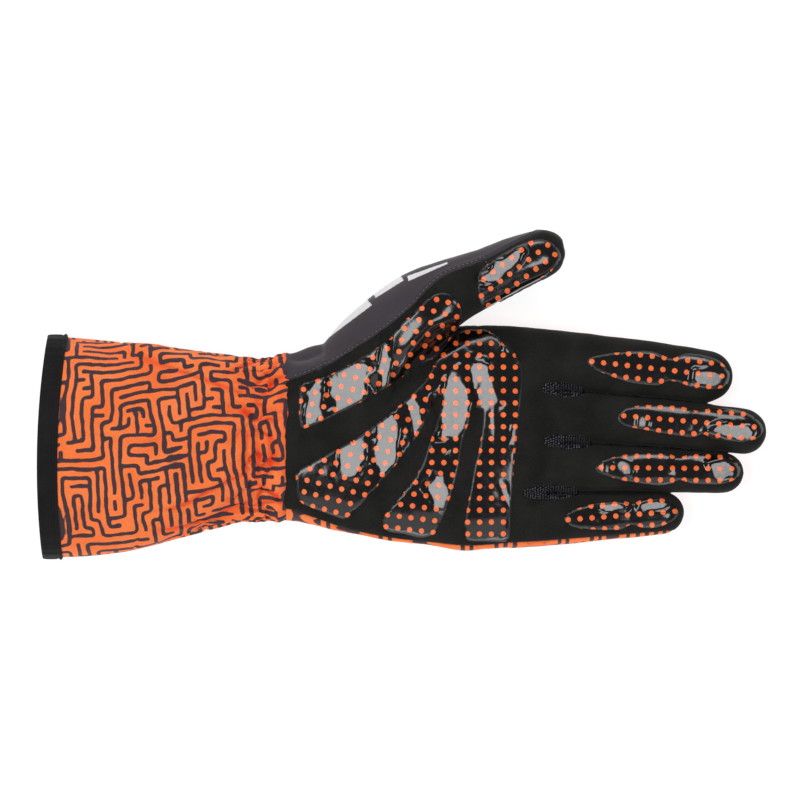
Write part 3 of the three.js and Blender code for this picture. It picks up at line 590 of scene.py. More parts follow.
def hand_skin():
    """The hand's whole outer skin as one smooth closed form, with its folds, flat where it rests."""
    palm = section_rings(palm_sections(), 96)
    for ring, section in zip(palm, palm_sections()):
        share = float(smoothstep(section["centre"][0] / PALM_LENGTH, 0.5, 1.0))
        ring[:, 0] -= share * (knuckle_fall(ring[:, 1]) - WEB_REACH)
    forms = [loft("palm_form", palm)]
    forms += [loft("finger_form", section_rings(finger_sections(finger), 64)) for finger in FINGERS]
    forms.append(loft("thumb_form", section_rings(thumb_sections(), 72)))
    bm = bmesh.new()
    for form in forms:
        bm.from_mesh(form.data)
    drop(*forms)
    skin = piece_from(bm, "hand_skin")
    remesh = skin.modifiers.new("one skin", "REMESH")
    remesh.mode = "VOXEL"
    remesh.voxel_size = VOXEL
    relax = skin.modifiers.new("relax", "SMOOTH")
    relax.factor = 0.5
    relax.iterations = 7
    bake(skin)
    co, normal = places(skin.data), places(skin.data, "normal")
    upward = smoothstep(normal[:, 2], -0.1, 0.5) * smoothstep(co[:, 2], 4, 9)
    between = finger_contact(co) * smoothstep(np.abs(normal[:, 1]), 0.5, 0.9)
    soft = (1 - between) * (0.28 * ripple(co, 13.0, 3.1) + 0.12 * ripple(co, 5.0, 7.7))
    press = upward * fold_relief(PALM_FOLDS, co)
    co += normal * (JOIN_SHRINK + soft + 0.5 * between - press)[:, None]
    flatten_facets(co, upward > 0.5)
    co[:, 2] = np.maximum(co[:, 2], 0.0)
    move_to(skin.data, co)
    return skin


def front_region():
    """Everything on the palm side of the seams."""
    def wall(name, sections, lower=1.5):
        rings = [
            front_ring(s["centre"], s["heading"], s["left"] * s["thumb_seam"],
                       -s["right"] * s["little_seam"], s["centre"][2] - lower)
            for s in sections
        ]
        return loft(name, rings)
    parts = [wall("palm_front", palm_sections())]
    for finger in FINGERS:
        shaft = finger.length - finger.width / 2 * finger.taper
        spans = [finger_section(finger, d) for d in np.linspace(-0.3 * shaft, finger.length + 3, 24)]
        for s, share in zip(spans, np.linspace(0, 1, len(spans))):
            s["thumb_seam"] = 1.3
            s["little_seam"] = 0.8 + 0.12 * share if finger.name == "little" else 1.3
        parts.append(wall("finger_front", spans))
    thumb = list(thumb_sections())
    least = thumb[33]["left"]
    for s in thumb[34:]:
        s["left"] = s["right"] = least
    end = dict(thumb[-1])
    onward = np.array([math.cos(end["heading"]), math.sin(end["heading"]), 0])
    end["centre"] = tuple(np.array(end["centre"]) + onward * 4)
    parts.append(wall("thumb_front", thumb + [end], lower=0.0))
    return union("front_region", parts)


def side_slab(finger, side):
    """A slab over one side of a finger."""
    shaft = finger.length - finger.width / 2 * finger.taper
    rings = []
    for d in np.linspace(-0.1 * shaft, shaft, 16):
        s = finger_section(finger, d)
        reach = side * 1.25 * s["left"]
        rings.append(front_ring(s["centre"], s["heading"], max(reach, 0), min(reach, 0), FOURCHETTE_FOOT))
    return loft("side_slab", rings)


def gusset_oval(upper, lower):
    """The mesh oval that shows on the palm side at a crotch."""
    y = (upper.root_y - upper.width / 2 + lower.root_y + lower.width / 2) / 2
    x = PALM_LENGTH - float(knuckle_fall(y))
    lean = (upper.lean + lower.lean) / 2
    ring = []
    for turn in np.linspace(0, 2 * math.pi, 40, endpoint=False):
        along = upper.gusset / 2 * math.cos(turn)
        narrow = 1.0 - 0.28 * math.cos(turn)
        wide = GUSSET_WIDTH / 2 * narrow * math.copysign(abs(math.sin(turn)) ** 0.85, math.sin(turn))
        ring.append((x + along, y + along * lean + wide))
    return prism("gusset", ring, FOURCHETTE_FOOT)


def open_sheet(piece):
    """Leaves only the faces that lie on the skin, not the walls of the tools that cut it."""
    bm = bmesh.new()
    bm.from_mesh(piece.data)
    bmesh.ops.delete(bm, geom=[f for f in bm.faces if f.material_index], context="FACES")
    bmesh.ops.remove_doubles(bm, verts=bm.verts, dist=0.22)
    bmesh.ops.dissolve_degenerate(bm, edges=bm.edges, dist=0.03)
    clear_crumbs(bm)
    bm.to_mesh(piece.data)
    bm.free()
    piece.data.materials.clear()
    return piece


def clear_crumbs(bm, least=15.0):
    """Takes away the small loose bits that a cut leaves."""
    unseen = set(bm.faces)
    islands = []
    while unseen:
        stack = [unseen.pop()]
        island = []
        while stack:
            face = stack.pop()
            island.append(face)
            for edge in face.edges:
                for other in edge.link_faces:
                    if other in unseen:
                        unseen.discard(other)
                        stack.append(other)
        islands.append(island)
    crumbs = [f for island in islands if sum(f.calc_area() for f in island) < least for f in island]
    if crumbs:
        bmesh.ops.delete(bm, geom=crumbs, context="FACES")


def point_tree(points):
    tree = KDTree(len(points))
    for i, point in enumerate(points):
        tree.insert(point, i)
    tree.balance()
    return tree


def edge_distance(mesh):
    """Each vertex's distance to the sheet's nearest edge."""
    bm = bmesh.new()
    bm.from_mesh(mesh)
    rim = [v.co.copy() for v in bm.verts if v.is_boundary]
    rim += [(e.verts[0].co + e.verts[1].co) / 2 for e in bm.edges if e.is_boundary]
    bm.free()
    tree = point_tree(rim)
    return np.array([tree.find(v.co)[2] for v in mesh.vertices])


def turn_in(piece, ridge=0.0):
    """Rolls a panel's edges in towards its seams, with a ridge of turned cloth beside them."""
    away = edge_distance(piece.data)
    co, normal = places(piece.data), places(piece.data, "normal")
    pucker = 1 + 0.35 * ripple(co, 2.2, 11.0)
    roll = SEAM_ROLL * pucker * np.clip(1 - away / SEAM_REACH, 0, 1) ** 2
    roll -= ridge * pucker * np.exp(-(((away - 1.7) / 0.8) ** 2))
    co -= normal * roll[:, None]
    co[:, 2] = np.maximum(co[:, 2], 0.0)
    move_to(piece.data, co)
    return piece


def thicken(piece, wall, inner=0, fine=None):
    """Gives a sheet its thickness; `inner` is its inside's material slot, `fine` marks where it thins."""
    for _ in range(inner + 1):
        piece.data.materials.append(None)
    solid = piece.modifiers.new("cloth", "SOLIDIFY")
    solid.thickness = wall
    solid.offset = -1
    solid.use_even_offset = False
    solid.material_offset = inner
    if fine is not None:
        group = piece.vertex_groups.new(name="full")
        for i, share in enumerate(fine):
            group.add([i], 1 - float(share), "REPLACE")
        solid.vertex_group = group.name
        solid.thickness_vertex_group = 0.2
    bake(piece)
    piece.vertex_groups.clear()
    co = places(piece.data)
    co[:, 2] = np.maximum(co[:, 2], 0)
    move_to(piece.data, co)
    return piece


def store(mesh, name, values):
    """Keeps one number for each vertex, for a material to read."""
    field = mesh.attributes.new(name, "FLOAT", "POINT")
    field.data.foreach_set("value", np.asarray(values, np.float32))


def read_numbers(mesh, name):
    values = np.empty(len(mesh.vertices), np.float32)
    mesh.attributes[name].data.foreach_get("value", values)
    return values


def loop_vertices(mesh):
    index = np.empty(len(mesh.loops), np.int32)
    mesh.loops.foreach_get("vertex_index", index)
    return index


def store_uv(mesh, name, uv):
    """Keeps flat coordinates, one pair for each corner of each face."""
    layer = mesh.uv_layers.new(name=name)
    layer.uv.foreach_set("vector", np.asarray(uv, np.float32).ravel())


def finish_piece(piece, materials, slot, *nodes):
    """Moves a piece to the part's frame in metres, gives it its materials and smooth shading, attaches it to
    the root body and hides the model's nodes that it stands for; `slot` is not used.
    """
    co = (places(piece.data) - np.array(PART_ORIGIN)) * METRE
    move_to(piece.data, co)
    for i, material in enumerate(materials):
        if i < len(piece.data.materials):
            piece.data.materials[i] = material
        else:
            piece.data.materials.append(material)
    piece.data.polygons.foreach_set("use_smooth", [True] * len(piece.data.polygons))
    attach(piece, "root")
    if nodes:
        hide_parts(*nodes)
    return piece


def sway(p, reach, size, across, along):
    """A small step in the plan that changes softly from place to place."""
    return reach * Vector((noise.noise(p / size + Vector(across)), noise.noise(p / size + Vector(along)), 0))


def labyrinth(width, height, cell, seed):
    """Walls of a maze as drawn by hand: passages dug at random, rounded corners, unsteady lines."""
    draw = random.Random(seed)
    cols, rows = max(2, round(width / cell)), max(2, round(height / cell))
    open_walls = set()
    seen = {(0, 0)}
    path = [(0, 0)]
    way = (1, 0)
    while path:
        x, y = path[-1]
        steps = [
            (dx, dy) for dx, dy in ((1, 0), (-1, 0), (0, 1), (0, -1))
            if 0 <= x + dx < cols and 0 <= y + dy < rows and (x + dx, y + dy) not in seen
        ]
        if not steps:
            path.pop()
            continue
        way = way if way in steps and draw.random() < 0.45 else draw.choice(steps)
        there = (x + way[0], y + way[1])
        open_walls.add(frozenset(((x, y), there)))
        seen.add(there)
        path.append(there)
    links = {}
    for x in range(cols + 1):
        for y in range(rows + 1):
            for end, before, within in (
                ((x + 1, y), (x, y - 1), x < cols), ((x, y + 1), (x - 1, y), y < rows)
            ):
                if within and frozenset((before, (x, y))) not in open_walls and draw.random() > 0.03:
                    links.setdefault((x, y), set()).add(end)
                    links.setdefault(end, set()).add((x, y))
    lines = []
    starts = [p for p in sorted(links) if len(links[p]) != 2] + sorted(links)
    for start in starts:
        while links[start]:
            line = [start]
            here = start
            while links[here]:
                there = min(links[here], key=lambda p: draw.random())
                links[here].discard(there)
                links[there].discard(here)
                line.append(there)
                here = there
                if len(line) > 2 and here in starts[: len(starts) // 4] and draw.random() < 0.2:
                    break
            lines.append(line)
    drawn = []
    for line in lines:
        points = [Vector((x * cell, y * cell, 0)) for x, y in line]
        for _ in range(2):
            cut = [points[0]]
            for a, b in zip(points[:-1], points[1:]):
                cut += [a.lerp(b, 0.2), a.lerp(b, 0.8)]
            points = cut + [points[-1]]
        drawn.append([
            p + sway(p, 0.45, 4.0, (seed, 0, 0), (0, seed, 5))
            + sway(p, 2.0, 19.0, (seed, 9, 0), (4, seed, 5))
            for p in points
        ])
    return drawn


def ink_field(lines, flat, half=0.86):
    """Distance of each flat point to the edge of the nearest drawn line, below zero inside it."""
    samples = []
    for line in lines:
        for a, b in zip(line[:-1], line[1:]):
            count = max(1, int((b - a).length / 0.3))
            samples += [a.lerp(b, k / count) for k in range(count)]
        samples.append(line[-1])
    tree = point_tree(samples)
    field = np.empty(len(flat))
    for i, (u, v) in enumerate(flat):
        near, _, away = tree.find((u, v, 0))
        bold = max(0.0, noise.noise(near / 17.0 + Vector((7, 3, 1))) - 0.42)
        field[i] = away - half * (1 + 0.3 * noise.noise(near / 3.0) + 2.6 * bold)
    return field


# Shader building

def set_socket(tree, socket, value):
    """Links a socket to another one, or gives it a plain value."""
    if isinstance(value, bpy.types.NodeSocket):
        tree.links.new(value, socket)
    else:
        socket.default_value = value


def add(tree, kind, inputs=None, **settings):
    """A shader node with its settings, its plain values and its links."""
    made = tree.nodes.new(kind)
    for key, value in settings.items():
        setattr(made, key, value)
    for key, value in (inputs or {}).items():
        set_socket(tree, made.inputs[key], value)
    return made


def math_node(tree, operation, a, b=0.0):
    return add(tree, "ShaderNodeMath", {0: a, 1: b}, operation=operation).outputs[0]


def times(tree, a, b):
    return math_node(tree, "MULTIPLY", a, b)


def plus(tree, a, b):
    return math_node(tree, "ADD", a, b)


def steps_of(tree, start, *steps):
    """A chain of vector sums, each an operation with the values of its other sockets."""
    for operation, values in steps:
        start = add(tree, "ShaderNodeVectorMath", {0: start, **values}, operation=operation).outputs[0]
    return start


def ramp(tree, value, low, high, to_low=0.0, to_high=1.0, smooth=True):
    kind = "SMOOTHSTEP" if smooth else "LINEAR"
    sockets = {"Value": value, "From Min": low, "From Max": high, "To Min": to_low, "To Max": to_high}
    return add(tree, "ShaderNodeMapRange", sockets, interpolation_type=kind).outputs[0]


def blend_colours(tree, share, a, b):
    made = add(tree, "ShaderNodeMix", data_type="RGBA")
    for key, kind, value in (("Factor", "VALUE", share), ("A", "RGBA", a), ("B", "RGBA", b)):
        set_socket(tree, next(s for s in made.inputs if s.name == key and s.type == kind), value)
    return next(s for s in made.outputs if s.type == "RGBA")


def new_group(name, sizes, outputs):
    """A shared effect: a place and some named sizes go in, masks and heights come out."""
    tree = bpy.data.node_groups.new(name, "ShaderNodeTree")
    tree.interface.new_socket("Vector", in_out="INPUT", socket_type="NodeSocketVector")
    for label, value in sizes.items():
        socket = tree.interface.new_socket(label, in_out="INPUT", socket_type="NodeSocketFloat")
        socket.default_value = value
    for label in outputs:
        tree.interface.new_socket(label, in_out="OUTPUT", socket_type="NodeSocketFloat")
    return tree, tree.nodes.new("NodeGroupInput").outputs, tree.nodes.new("NodeGroupOutput").inputs


def grain_group():
    """Fine fibres over soft patches: the nap of suede, the fuzz of knitting."""
    tree, given, out = new_group("fibre grain", {"Size": 0.4, "Patch": 9.0}, ["Height", "Shade"])
    here = given["Vector"]
    fine_scale = math_node(tree, "DIVIDE", 1 / METRE, given["Size"])
    patch_scale = math_node(tree, "DIVIDE", 1 / METRE, given["Patch"])
    fine = add(tree, "ShaderNodeTexNoise", {"Vector": here, "Scale": fine_scale, "Detail": 4.0})
    patch = add(tree, "ShaderNodeTexNoise", {"Vector": here, "Scale": patch_scale, "Detail": 3.0})
    fibres = add(tree, "ShaderNodeTexVoronoi", {"Vector": here, "Scale": fine_scale}, feature="F1")
    height = times(tree, fine.outputs[0], fibres.outputs["Distance"])
    tree.links.new(height, out["Height"])
    mixed = plus(tree, times(tree, fine.outputs[0], 0.55), times(tree, patch.outputs[0], 0.45))
    tree.links.new(ramp(tree, mixed, 0.3, 0.7), out["Shade"])
    return tree


def knit_group():
    """Rows of small loops, in wales along X and courses across."""
    tree, given, out = new_group("knit loops", {"Pitch": 0.7}, ["Height", "Shade"])
    turn = math_node(tree, "DIVIDE", 2000.0 * math.pi, given["Pitch"])
    parts = add(tree, "ShaderNodeSeparateXYZ", {0: given["Vector"]}).outputs
    down = plus(tree, parts[1], parts[2])
    across = math_node(tree, "SINE", times(tree, down, turn))
    lean = plus(tree, times(tree, parts[0], turn), across)
    along = math_node(tree, "SINE", lean)
    loops = plus(tree, times(tree, along, 0.3), times(tree, across, 0.2))
    height = plus(tree, loops, 0.5)
    tree.links.new(height, out["Height"])
    tree.links.new(ramp(tree, height, 0.1, 0.9), out["Shade"])
    return tree


def wear_group():
    """Soft uneven patches where cloth is rubbed or dusty."""
    tree, given, out = new_group("uneven wear", {"Patch": 22.0, "Spread": 0.5}, ["Mask"])
    scale = math_node(tree, "DIVIDE", 1 / METRE, given["Patch"])
    sockets = {"Vector": given["Vector"], "Scale": scale, "Detail": 5.0, "Roughness": 0.6}
    patch = add(tree, "ShaderNodeTexNoise", sockets)
    low = math_node(tree, "SUBTRACT", 0.72, times(tree, given["Spread"], 0.4))
    tree.links.new(ramp(tree, patch.outputs[0], low, 0.75), out["Mask"])
    return tree


GRAIN = grain_group()
KNIT = knit_group()
WEAR = wear_group()


def place_group(tree, group, **values):
    """Puts a shared effect in a material, with its sizes in millimetres."""
    return add(tree, "ShaderNodeGroup", values, node_tree=group).outputs


def srgb(r, g, b):
    """A colour read off a screen, 0 to 255, as the shader's own."""
    def linear(c):
        c /= 255
        return c / 12.92 if c <= 0.04045 else ((c + 0.055) / 1.055) ** 2.4
    return (linear(r), linear(g), linear(b), 1.0)


def new_material(name, **sockets):
    """A material with plain values on its shader's sockets, and the place it is looked up by."""
    material = bpy.data.materials.new(name)
    material.use_nodes = True
    tree = material.node_tree
    shader = tree.nodes["Principled BSDF"]
    for key, value in sockets.items():
        shader.inputs[key.replace("_", " ")].default_value = value
    here = add(tree, "ShaderNodeTexCoord").outputs["Object"]
    return material, tree, shader, here


def finish_shader(tree, shader, colour, rough, height, strength, depth):
    """Gives a material its colour and roughness, and its fine relief of a depth in millimetres."""
    relief = add(tree, "ShaderNodeBump", {"Height": height, "Strength": strength, "Distance": depth * METRE})
    for key, value in (("Base Color", colour), ("Roughness", rough), ("Normal", relief.outputs[0])):
        tree.links.new(value, shader.inputs[key])


def attribute(tree, name):
    return add(tree, "ShaderNodeAttribute", attribute_name=name).outputs["Fac"]


def suede_material(name, dark, light):
    """Napped black suede, a little rubbed in patches."""
    material, tree, shader, here = new_material(
        name, Sheen_Weight=0.28, Sheen_Roughness=0.45, Sheen_Tint=srgb(120, 118, 116),
        Specular_IOR_Level=0.16,
    )
    nap = place_group(tree, GRAIN, Vector=here, Size=0.45, Patch=11.0)
    worn = place_group(tree, WEAR, Vector=here, Patch=30.0, Spread=0.4)
    colour = blend_colours(tree, nap["Shade"], dark, light)
    rubbed = blend_colours(tree, times(tree, worn["Mask"], 0.25), colour, srgb(42, 41, 40))
    rough = ramp(tree, nap["Shade"], 0, 1, 0.96, 0.82)
    finish_shader(tree, shader, rubbed, rough, nap["Height"], 0.45, 0.12)
    return material


def cloth_material(name, dark, light, pitch=0.9, strength=0.4, rough=0.8, sheen=0.12):
    """Plain knitted cloth."""
    material, tree, shader, here = new_material(
        name, Sheen_Weight=sheen, Sheen_Roughness=0.5, Specular_IOR_Level=0.25
    )
    loops = place_group(tree, KNIT, Vector=here, Pitch=pitch)
    fuzz = place_group(tree, GRAIN, Vector=here, Size=0.5, Patch=14.0)
    worn = place_group(tree, WEAR, Vector=here, Patch=26.0, Spread=0.5)
    shade = plus(tree, times(tree, loops["Shade"], 0.6),
                 times(tree, fuzz["Shade"], 0.4))
    colour = blend_colours(tree, shade, dark, light)
    rubbed = blend_colours(tree, times(tree, worn["Mask"], 0.2), colour, light)
    uneven = ramp(tree, fuzz["Shade"], 0, 1, rough + 0.08, rough - 0.06)
    finish_shader(tree, shader, rubbed, uneven, loops["Height"], strength, 0.15)
    return material


def printed_material():
    """Orange stretch cloth with a dark printed labyrinth; the ink lies a little unevenly on the knitting.
    The orange turns a deeper red-orange as painted shade where the cuff lies in folds and creases.
    """
    material, tree, shader, here = new_material(
        "printed_cloth", Sheen_Weight=0.1, Sheen_Roughness=0.5, Specular_IOR_Level=0.3
    )
    loops = place_group(tree, KNIT, Vector=here, Pitch=0.75)
    fuzz = place_group(tree, GRAIN, Vector=here, Size=0.6, Patch=16.0)
    worn = place_group(tree, WEAR, Vector=here, Patch=34.0, Spread=0.6)
    ground = blend_colours(tree, fuzz["Shade"], srgb(249, 112, 46), srgb(255, 134, 70))
    faded = blend_colours(tree, times(tree, worn["Mask"], 0.35), ground, srgb(253, 146, 92))
    ink = blend_colours(tree, loops["Shade"], srgb(48, 33, 40), srgb(72, 49, 56))
    fray = times(tree, math_node(tree, "SUBTRACT", fuzz["Shade"], 0.5), 0.16)
    cover = ramp(tree, plus(tree, attribute(tree, "ink"), fray), -0.12, 0.14, 1.0, 0.0)
    # Painted shade: a deeper red-orange where the cuff lies in folds, creases and gathers, and at the wrist
    # seam.
    deep = blend_colours(tree, times(tree, attribute(tree, "crease_shade"), 0.8), faded, srgb(238, 56, 14))
    colour = blend_colours(tree, cover, deep, ink)
    rough = ramp(tree, cover, 0, 1, 0.78, 0.66)
    finish_shader(tree, shader, colour, rough, loops["Height"], 0.3, 0.14)
    return material


def thumb_material():
    """Charcoal stretch cloth with white printed bars."""
    material, tree, shader, here = new_material(
        "charcoal_cloth", Sheen_Weight=0.2, Sheen_Roughness=0.45, Specular_IOR_Level=0.28
    )
    loops = place_group(tree, KNIT, Vector=here, Pitch=0.6)
    fuzz = place_group(tree, GRAIN, Vector=here, Size=0.5, Patch=15.0)
    worn = place_group(tree, WEAR, Vector=here, Patch=28.0, Spread=0.5)
    weave = plus(tree, times(tree, loops["Shade"], 0.35), times(tree, fuzz["Shade"], 0.65))
    ground = blend_colours(tree, weave, srgb(54, 49, 54), srgb(66, 60, 66))
    rubbed = blend_colours(tree, times(tree, worn["Mask"], 0.3), ground, srgb(78, 72, 78))
    white = blend_colours(tree, fuzz["Shade"], srgb(240, 237, 240), srgb(252, 250, 252))
    cover = ramp(tree, attribute(tree, "bars"), -0.12, 0.12, 1.0, 0.0)
    colour = blend_colours(tree, cover, rubbed, white)
    rough = ramp(tree, cover, 0, 1, 0.8, 0.6)
    finish_shader(tree, shader, colour, rough, loops["Height"], 0.3, 0.12)
    return material


def mesh_material():
    """Dark open knitting: small pale knots on a near-black ground, which is partly the yarn and partly
    painted shade in the mesh's holes.
    """
    material, tree, shader, here = new_material(
        "mesh_knit", Sheen_Weight=0.08, Sheen_Roughness=0.4, Specular_IOR_Level=0.2
    )
    parts = add(tree, "ShaderNodeSeparateXYZ", {0: here}).outputs
    folded = add(tree, "ShaderNodeCombineXYZ", {0: parts[0], 1: plus(tree, parts[1], parts[2])})
    sockets = {"Vector": folded.outputs[0], "Scale": 1 / (1.1 * METRE), "Randomness": 0.3}
    knots = add(tree, "ShaderNodeTexVoronoi", sockets, feature="F1", voronoi_dimensions="2D")
    fuzz = place_group(tree, GRAIN, Vector=here, Size=0.4, Patch=8.0)
    yarn = ramp(tree, knots.outputs["Distance"], 0.16, 0.36, 1.0, 0.0)
    lit = blend_colours(tree, fuzz["Shade"], srgb(72, 70, 82), srgb(108, 106, 118))
    # The near-black ground is partly the yarn and partly painted shade seen through the mesh's holes.
    colour = blend_colours(tree, yarn, srgb(8, 8, 10), lit)
    finish_shader(tree, shader, colour, ramp(tree, yarn, 0, 1, 0.95, 0.62), yarn, 0.9, 0.3)
    return material


def silicone_material():
    """Glossy black silicone with printed orange dots in a square lattice."""
    material, tree, shader, here = new_material(
        "dotted_silicone", Specular_IOR_Level=0.62, Coat_Weight=0.2, Coat_Roughness=0.05,
        Coat_IOR=1.45,
    )
    cell = add(tree, "ShaderNodeUVMap", uv_map="lattice").outputs[0]
    sockets = {"Vector": here, "Scale": 260.0, "Detail": 1.0}
    wobble = add(tree, "ShaderNodeTexNoise", sockets).outputs["Color"]
    spread = steps_of(tree, wobble, ("SUBTRACT", {1: (0.5, 0.5, 0.5)}), ("SCALE", {"Scale": 0.07}))
    flat = steps_of(
        tree, cell, ("ADD", {1: spread}), ("FRACTION", {}), ("SUBTRACT", {1: (0.5, 0.5, 0.0)}),
        ("MULTIPLY", {1: (1, 1, 0)}),
    )
    away = add(tree, "ShaderNodeVectorMath", {0: flat}, operation="LENGTH").outputs["Value"]
    dot = ramp(tree, away, 0.205, 0.238, 1.0, 0.0)
    smears = place_group(tree, GRAIN, Vector=here, Size=1.6, Patch=12.0)
    ground = blend_colours(tree, smears["Shade"], srgb(8, 7, 8), srgb(18, 16, 18))
    paint = blend_colours(tree, smears["Shade"], srgb(252, 100, 34), srgb(255, 122, 52))
    colour = blend_colours(tree, dot, ground, paint)
    rough = plus(tree, ramp(tree, smears["Shade"], 0, 1, 0.1, 0.2), times(tree, dot, 0.22))
    rough = plus(tree, rough, times(tree, attribute(tree, "rim"), 0.45))
    height = plus(tree, times(tree, dot, 0.6), smears["Height"])
    finish_shader(tree, shader, colour, rough, height, 0.25, 0.1)
    return material


def thread_material(name, dark, light):
    """Twisted sewing thread."""
    material, tree, shader, here = new_material(name, Sheen_Weight=0.15, Specular_IOR_Level=0.35)
    sockets = {"Vector": here, "Scale": 900.0, "Distortion": 1.5}
    twist = add(tree, "ShaderNodeTexWave", sockets, bands_direction="DIAGONAL").outputs["Fac"]
    colour = blend_colours(tree, twist, dark, light)
    finish_shader(tree, shader, colour, ramp(tree, twist, 0, 1, 0.75, 0.5), twist, 0.5, 0.06)
    return material


SUEDE = suede_material("black_suede", srgb(20, 20, 19), srgb(34, 33, 32))
PRINTED = printed_material()
CHARCOAL = thumb_material()
MESH_KNIT = mesh_material()
SILICONE = silicone_material()
BINDING = cloth_material("knit_binding", srgb(11, 9, 11), srgb(24, 21, 24), 1.1, 0.7, 0.85, 0.06)
LINING = cloth_material("pale_lining", srgb(150, 128, 118), srgb(196, 172, 160))
DARK_LINING = cloth_material("dark_lining", srgb(30, 29, 31), srgb(52, 50, 53))
GREY_THREAD = thread_material("grey_thread", srgb(92, 86, 92), srgb(150, 143, 150))


# The hand's panels

FOURCHETTES = ("fourchette_index_middle", "fourchette_middle_ring", "fourchette_ring_little")


def cut_panels():
    """Cuts the hand's skin along its seams into open sheets."""
    skin = hand_skin()
    wrist = prism("beyond_wrist", [(-2.2, -80), (240, -80), (240, 120), (-2.2, 120)])
    carve(skin, wrist, "INTERSECT")
    front = front_region()
    pairs = list(zip(FINGERS[:-1], FINGERS[1:]))
    sides = []
    for upper, lower in pairs:
        gusset = gusset_oval(upper, lower)
        carve(front, gusset, "DIFFERENCE", keep_tool=True)
        sides.append(union("side_region", [side_slab(upper, -1), side_slab(lower, 1), gusset]))
    palm = carve(copy_of(skin, "palm_suede"), front, "INTERSECT", keep_tool=True)
    rest = carve(copy_of(skin, "back_print"), front, "DIFFERENCE")
    fourchettes = []
    for name, side in zip(FOURCHETTES, sides):
        fourchettes.append(carve(copy_of(rest, name + "_mesh"), side, "INTERSECT", keep_tool=True))
        carve(rest, side, "DIFFERENCE")
    split = [*BACK_SPLIT, (150, 120), (-12, 120)]
    thumb_side = prism("thumb_side", split)
    thumb = carve(copy_of(rest, "thumb_charcoal"), thumb_side, "INTERSECT", keep_tool=True)
    carve(rest, thumb_side, "DIFFERENCE")
    for sheet in (palm, rest, thumb, *fourchettes):
        open_sheet(sheet)
    return skin, palm, rest, thumb, fourchettes


def seam_line(mesh):
    """The thumb cloth's edge along the suede, from the wrist to the tip."""
    bm = bmesh.new()
    bm.from_mesh(mesh)
    rim = [v.co.copy() for v in bm.verts if v.is_boundary and v.co.z > 13 and v.co.x > 2]
    rim.sort(key=lambda p: p.x)
    bm.free()
    line = []
    for start in np.arange(2.0, 90.0, 2.5):
        here = [p for p in rim if start <= p.x < start + 2.5]
        if here:
            line.append(sum(here, Vector()) / len(here))
    return line


def polygon_distance(points, outline):
    """Signed distance of plan points to a closed outline, above zero inside it."""
    outline = np.asarray(outline, float)
    a, b = outline, np.roll(outline, -1, axis=0)
    best = np.full(len(points), 1e9)
    inside = np.zeros(len(points), bool)
    for (ax, ay), (bx, by) in zip(a, b):
        px, py = points[:, 0] - ax, points[:, 1] - ay
        rx, ry = bx - ax, by - ay
        t = np.clip((px * rx + py * ry) / (rx * rx + ry * ry + 1e-12), 0, 1)
        best = np.minimum(best, np.hypot(px - t * rx, py - t * ry))
        crosses = (ay > points[:, 1]) != (by > points[:, 1])
        with np.errstate(divide="ignore", invalid="ignore"):
            at = ax + (points[:, 1] - ay) * rx / ry
        inside ^= crosses & (points[:, 0] < at)
    return np.where(inside, best, -best)


def nearest_on(outline, p):
    """The nearest point of a closed outline to a plan point."""
    best = None
    for a, b in zip(outline, outline[1:] + outline[:1]):
        run = b - a
        t = max(0.0, min(1.0, (p - a).dot(run) / run.length_squared))
        there = a + run * t
        away = (p - there).length_squared
        if best is None or away < best[0]:
            best = (away, there)
    return best[1]


# The parts of the palm's grip whose dots lie askew, as the cloth was turned under the print
STRIP_MIDDLE = [
    (33, -60), (33, -38), (35.5, -31), (43, -23), (50.4, -13.9), (56.4, -4), (61.4, 7.3), (64.3, 16),
]
HEEL_ZONE = [(-5, -60), *STRIP_MIDDLE, (64, 30), (-5, 30)]
LOW_ZONE = [*STRIP_MIDDLE[:5], (76, -12.3), (73.6, -22.7), (71.4, -31), (69, -46), (69, -60)]
GRIP_CELL = 0.62
GRIP_RISE = 0.42
GRIP_FILM = 0.3
ROUNDED_EDGE = 0.6
DOT_PITCH = 5.06


def plan_loop(outline):
    """A smooth closed loop in the plan through given points."""
    return [Vector(p[:2]) for p in smooth_curve([(*p, 0) for p in outline], 1.2, closed=True)]


def depth_inside(bm, rim, gaps):
    """How far each vertex lies inside the rim and outside the gaps, seen from above."""
    plan = np.array([v.co[:2] for v in bm.verts])
    inside = polygon_distance(plan, [p[:] for p in rim])
    for gap in gaps:
        inside = np.minimum(inside, -polygon_distance(plan, [p[:] for p in gap]))
    return inside


def dot_lattice(mesh, lattice):
    """Each face corner's place among the printed dots, counted in dots."""
    co = places(mesh)[:, :2]
    middles = np.array([face.center[:2] for face in mesh.polygons])
    faces = np.repeat(np.arange(len(middles)), [face.loop_total for face in mesh.polygons])
    corners = co[loop_vertices(mesh)]
    flat = np.zeros((len(corners), 2))
    for turn, origin, zone in lattice:
        cosine, sine = math.cos(math.radians(turn)), math.sin(math.radians(turn))
        x, y = (corners - np.array(origin)).T
        turned = np.stack([x * cosine + y * sine, y * cosine - x * sine], axis=1)
        held = polygon_distance(middles, zone)[faces] > 0 if zone else np.ones(len(corners), bool)
        flat[held] = turned[held]
    return flat / DOT_PITCH + 0.5


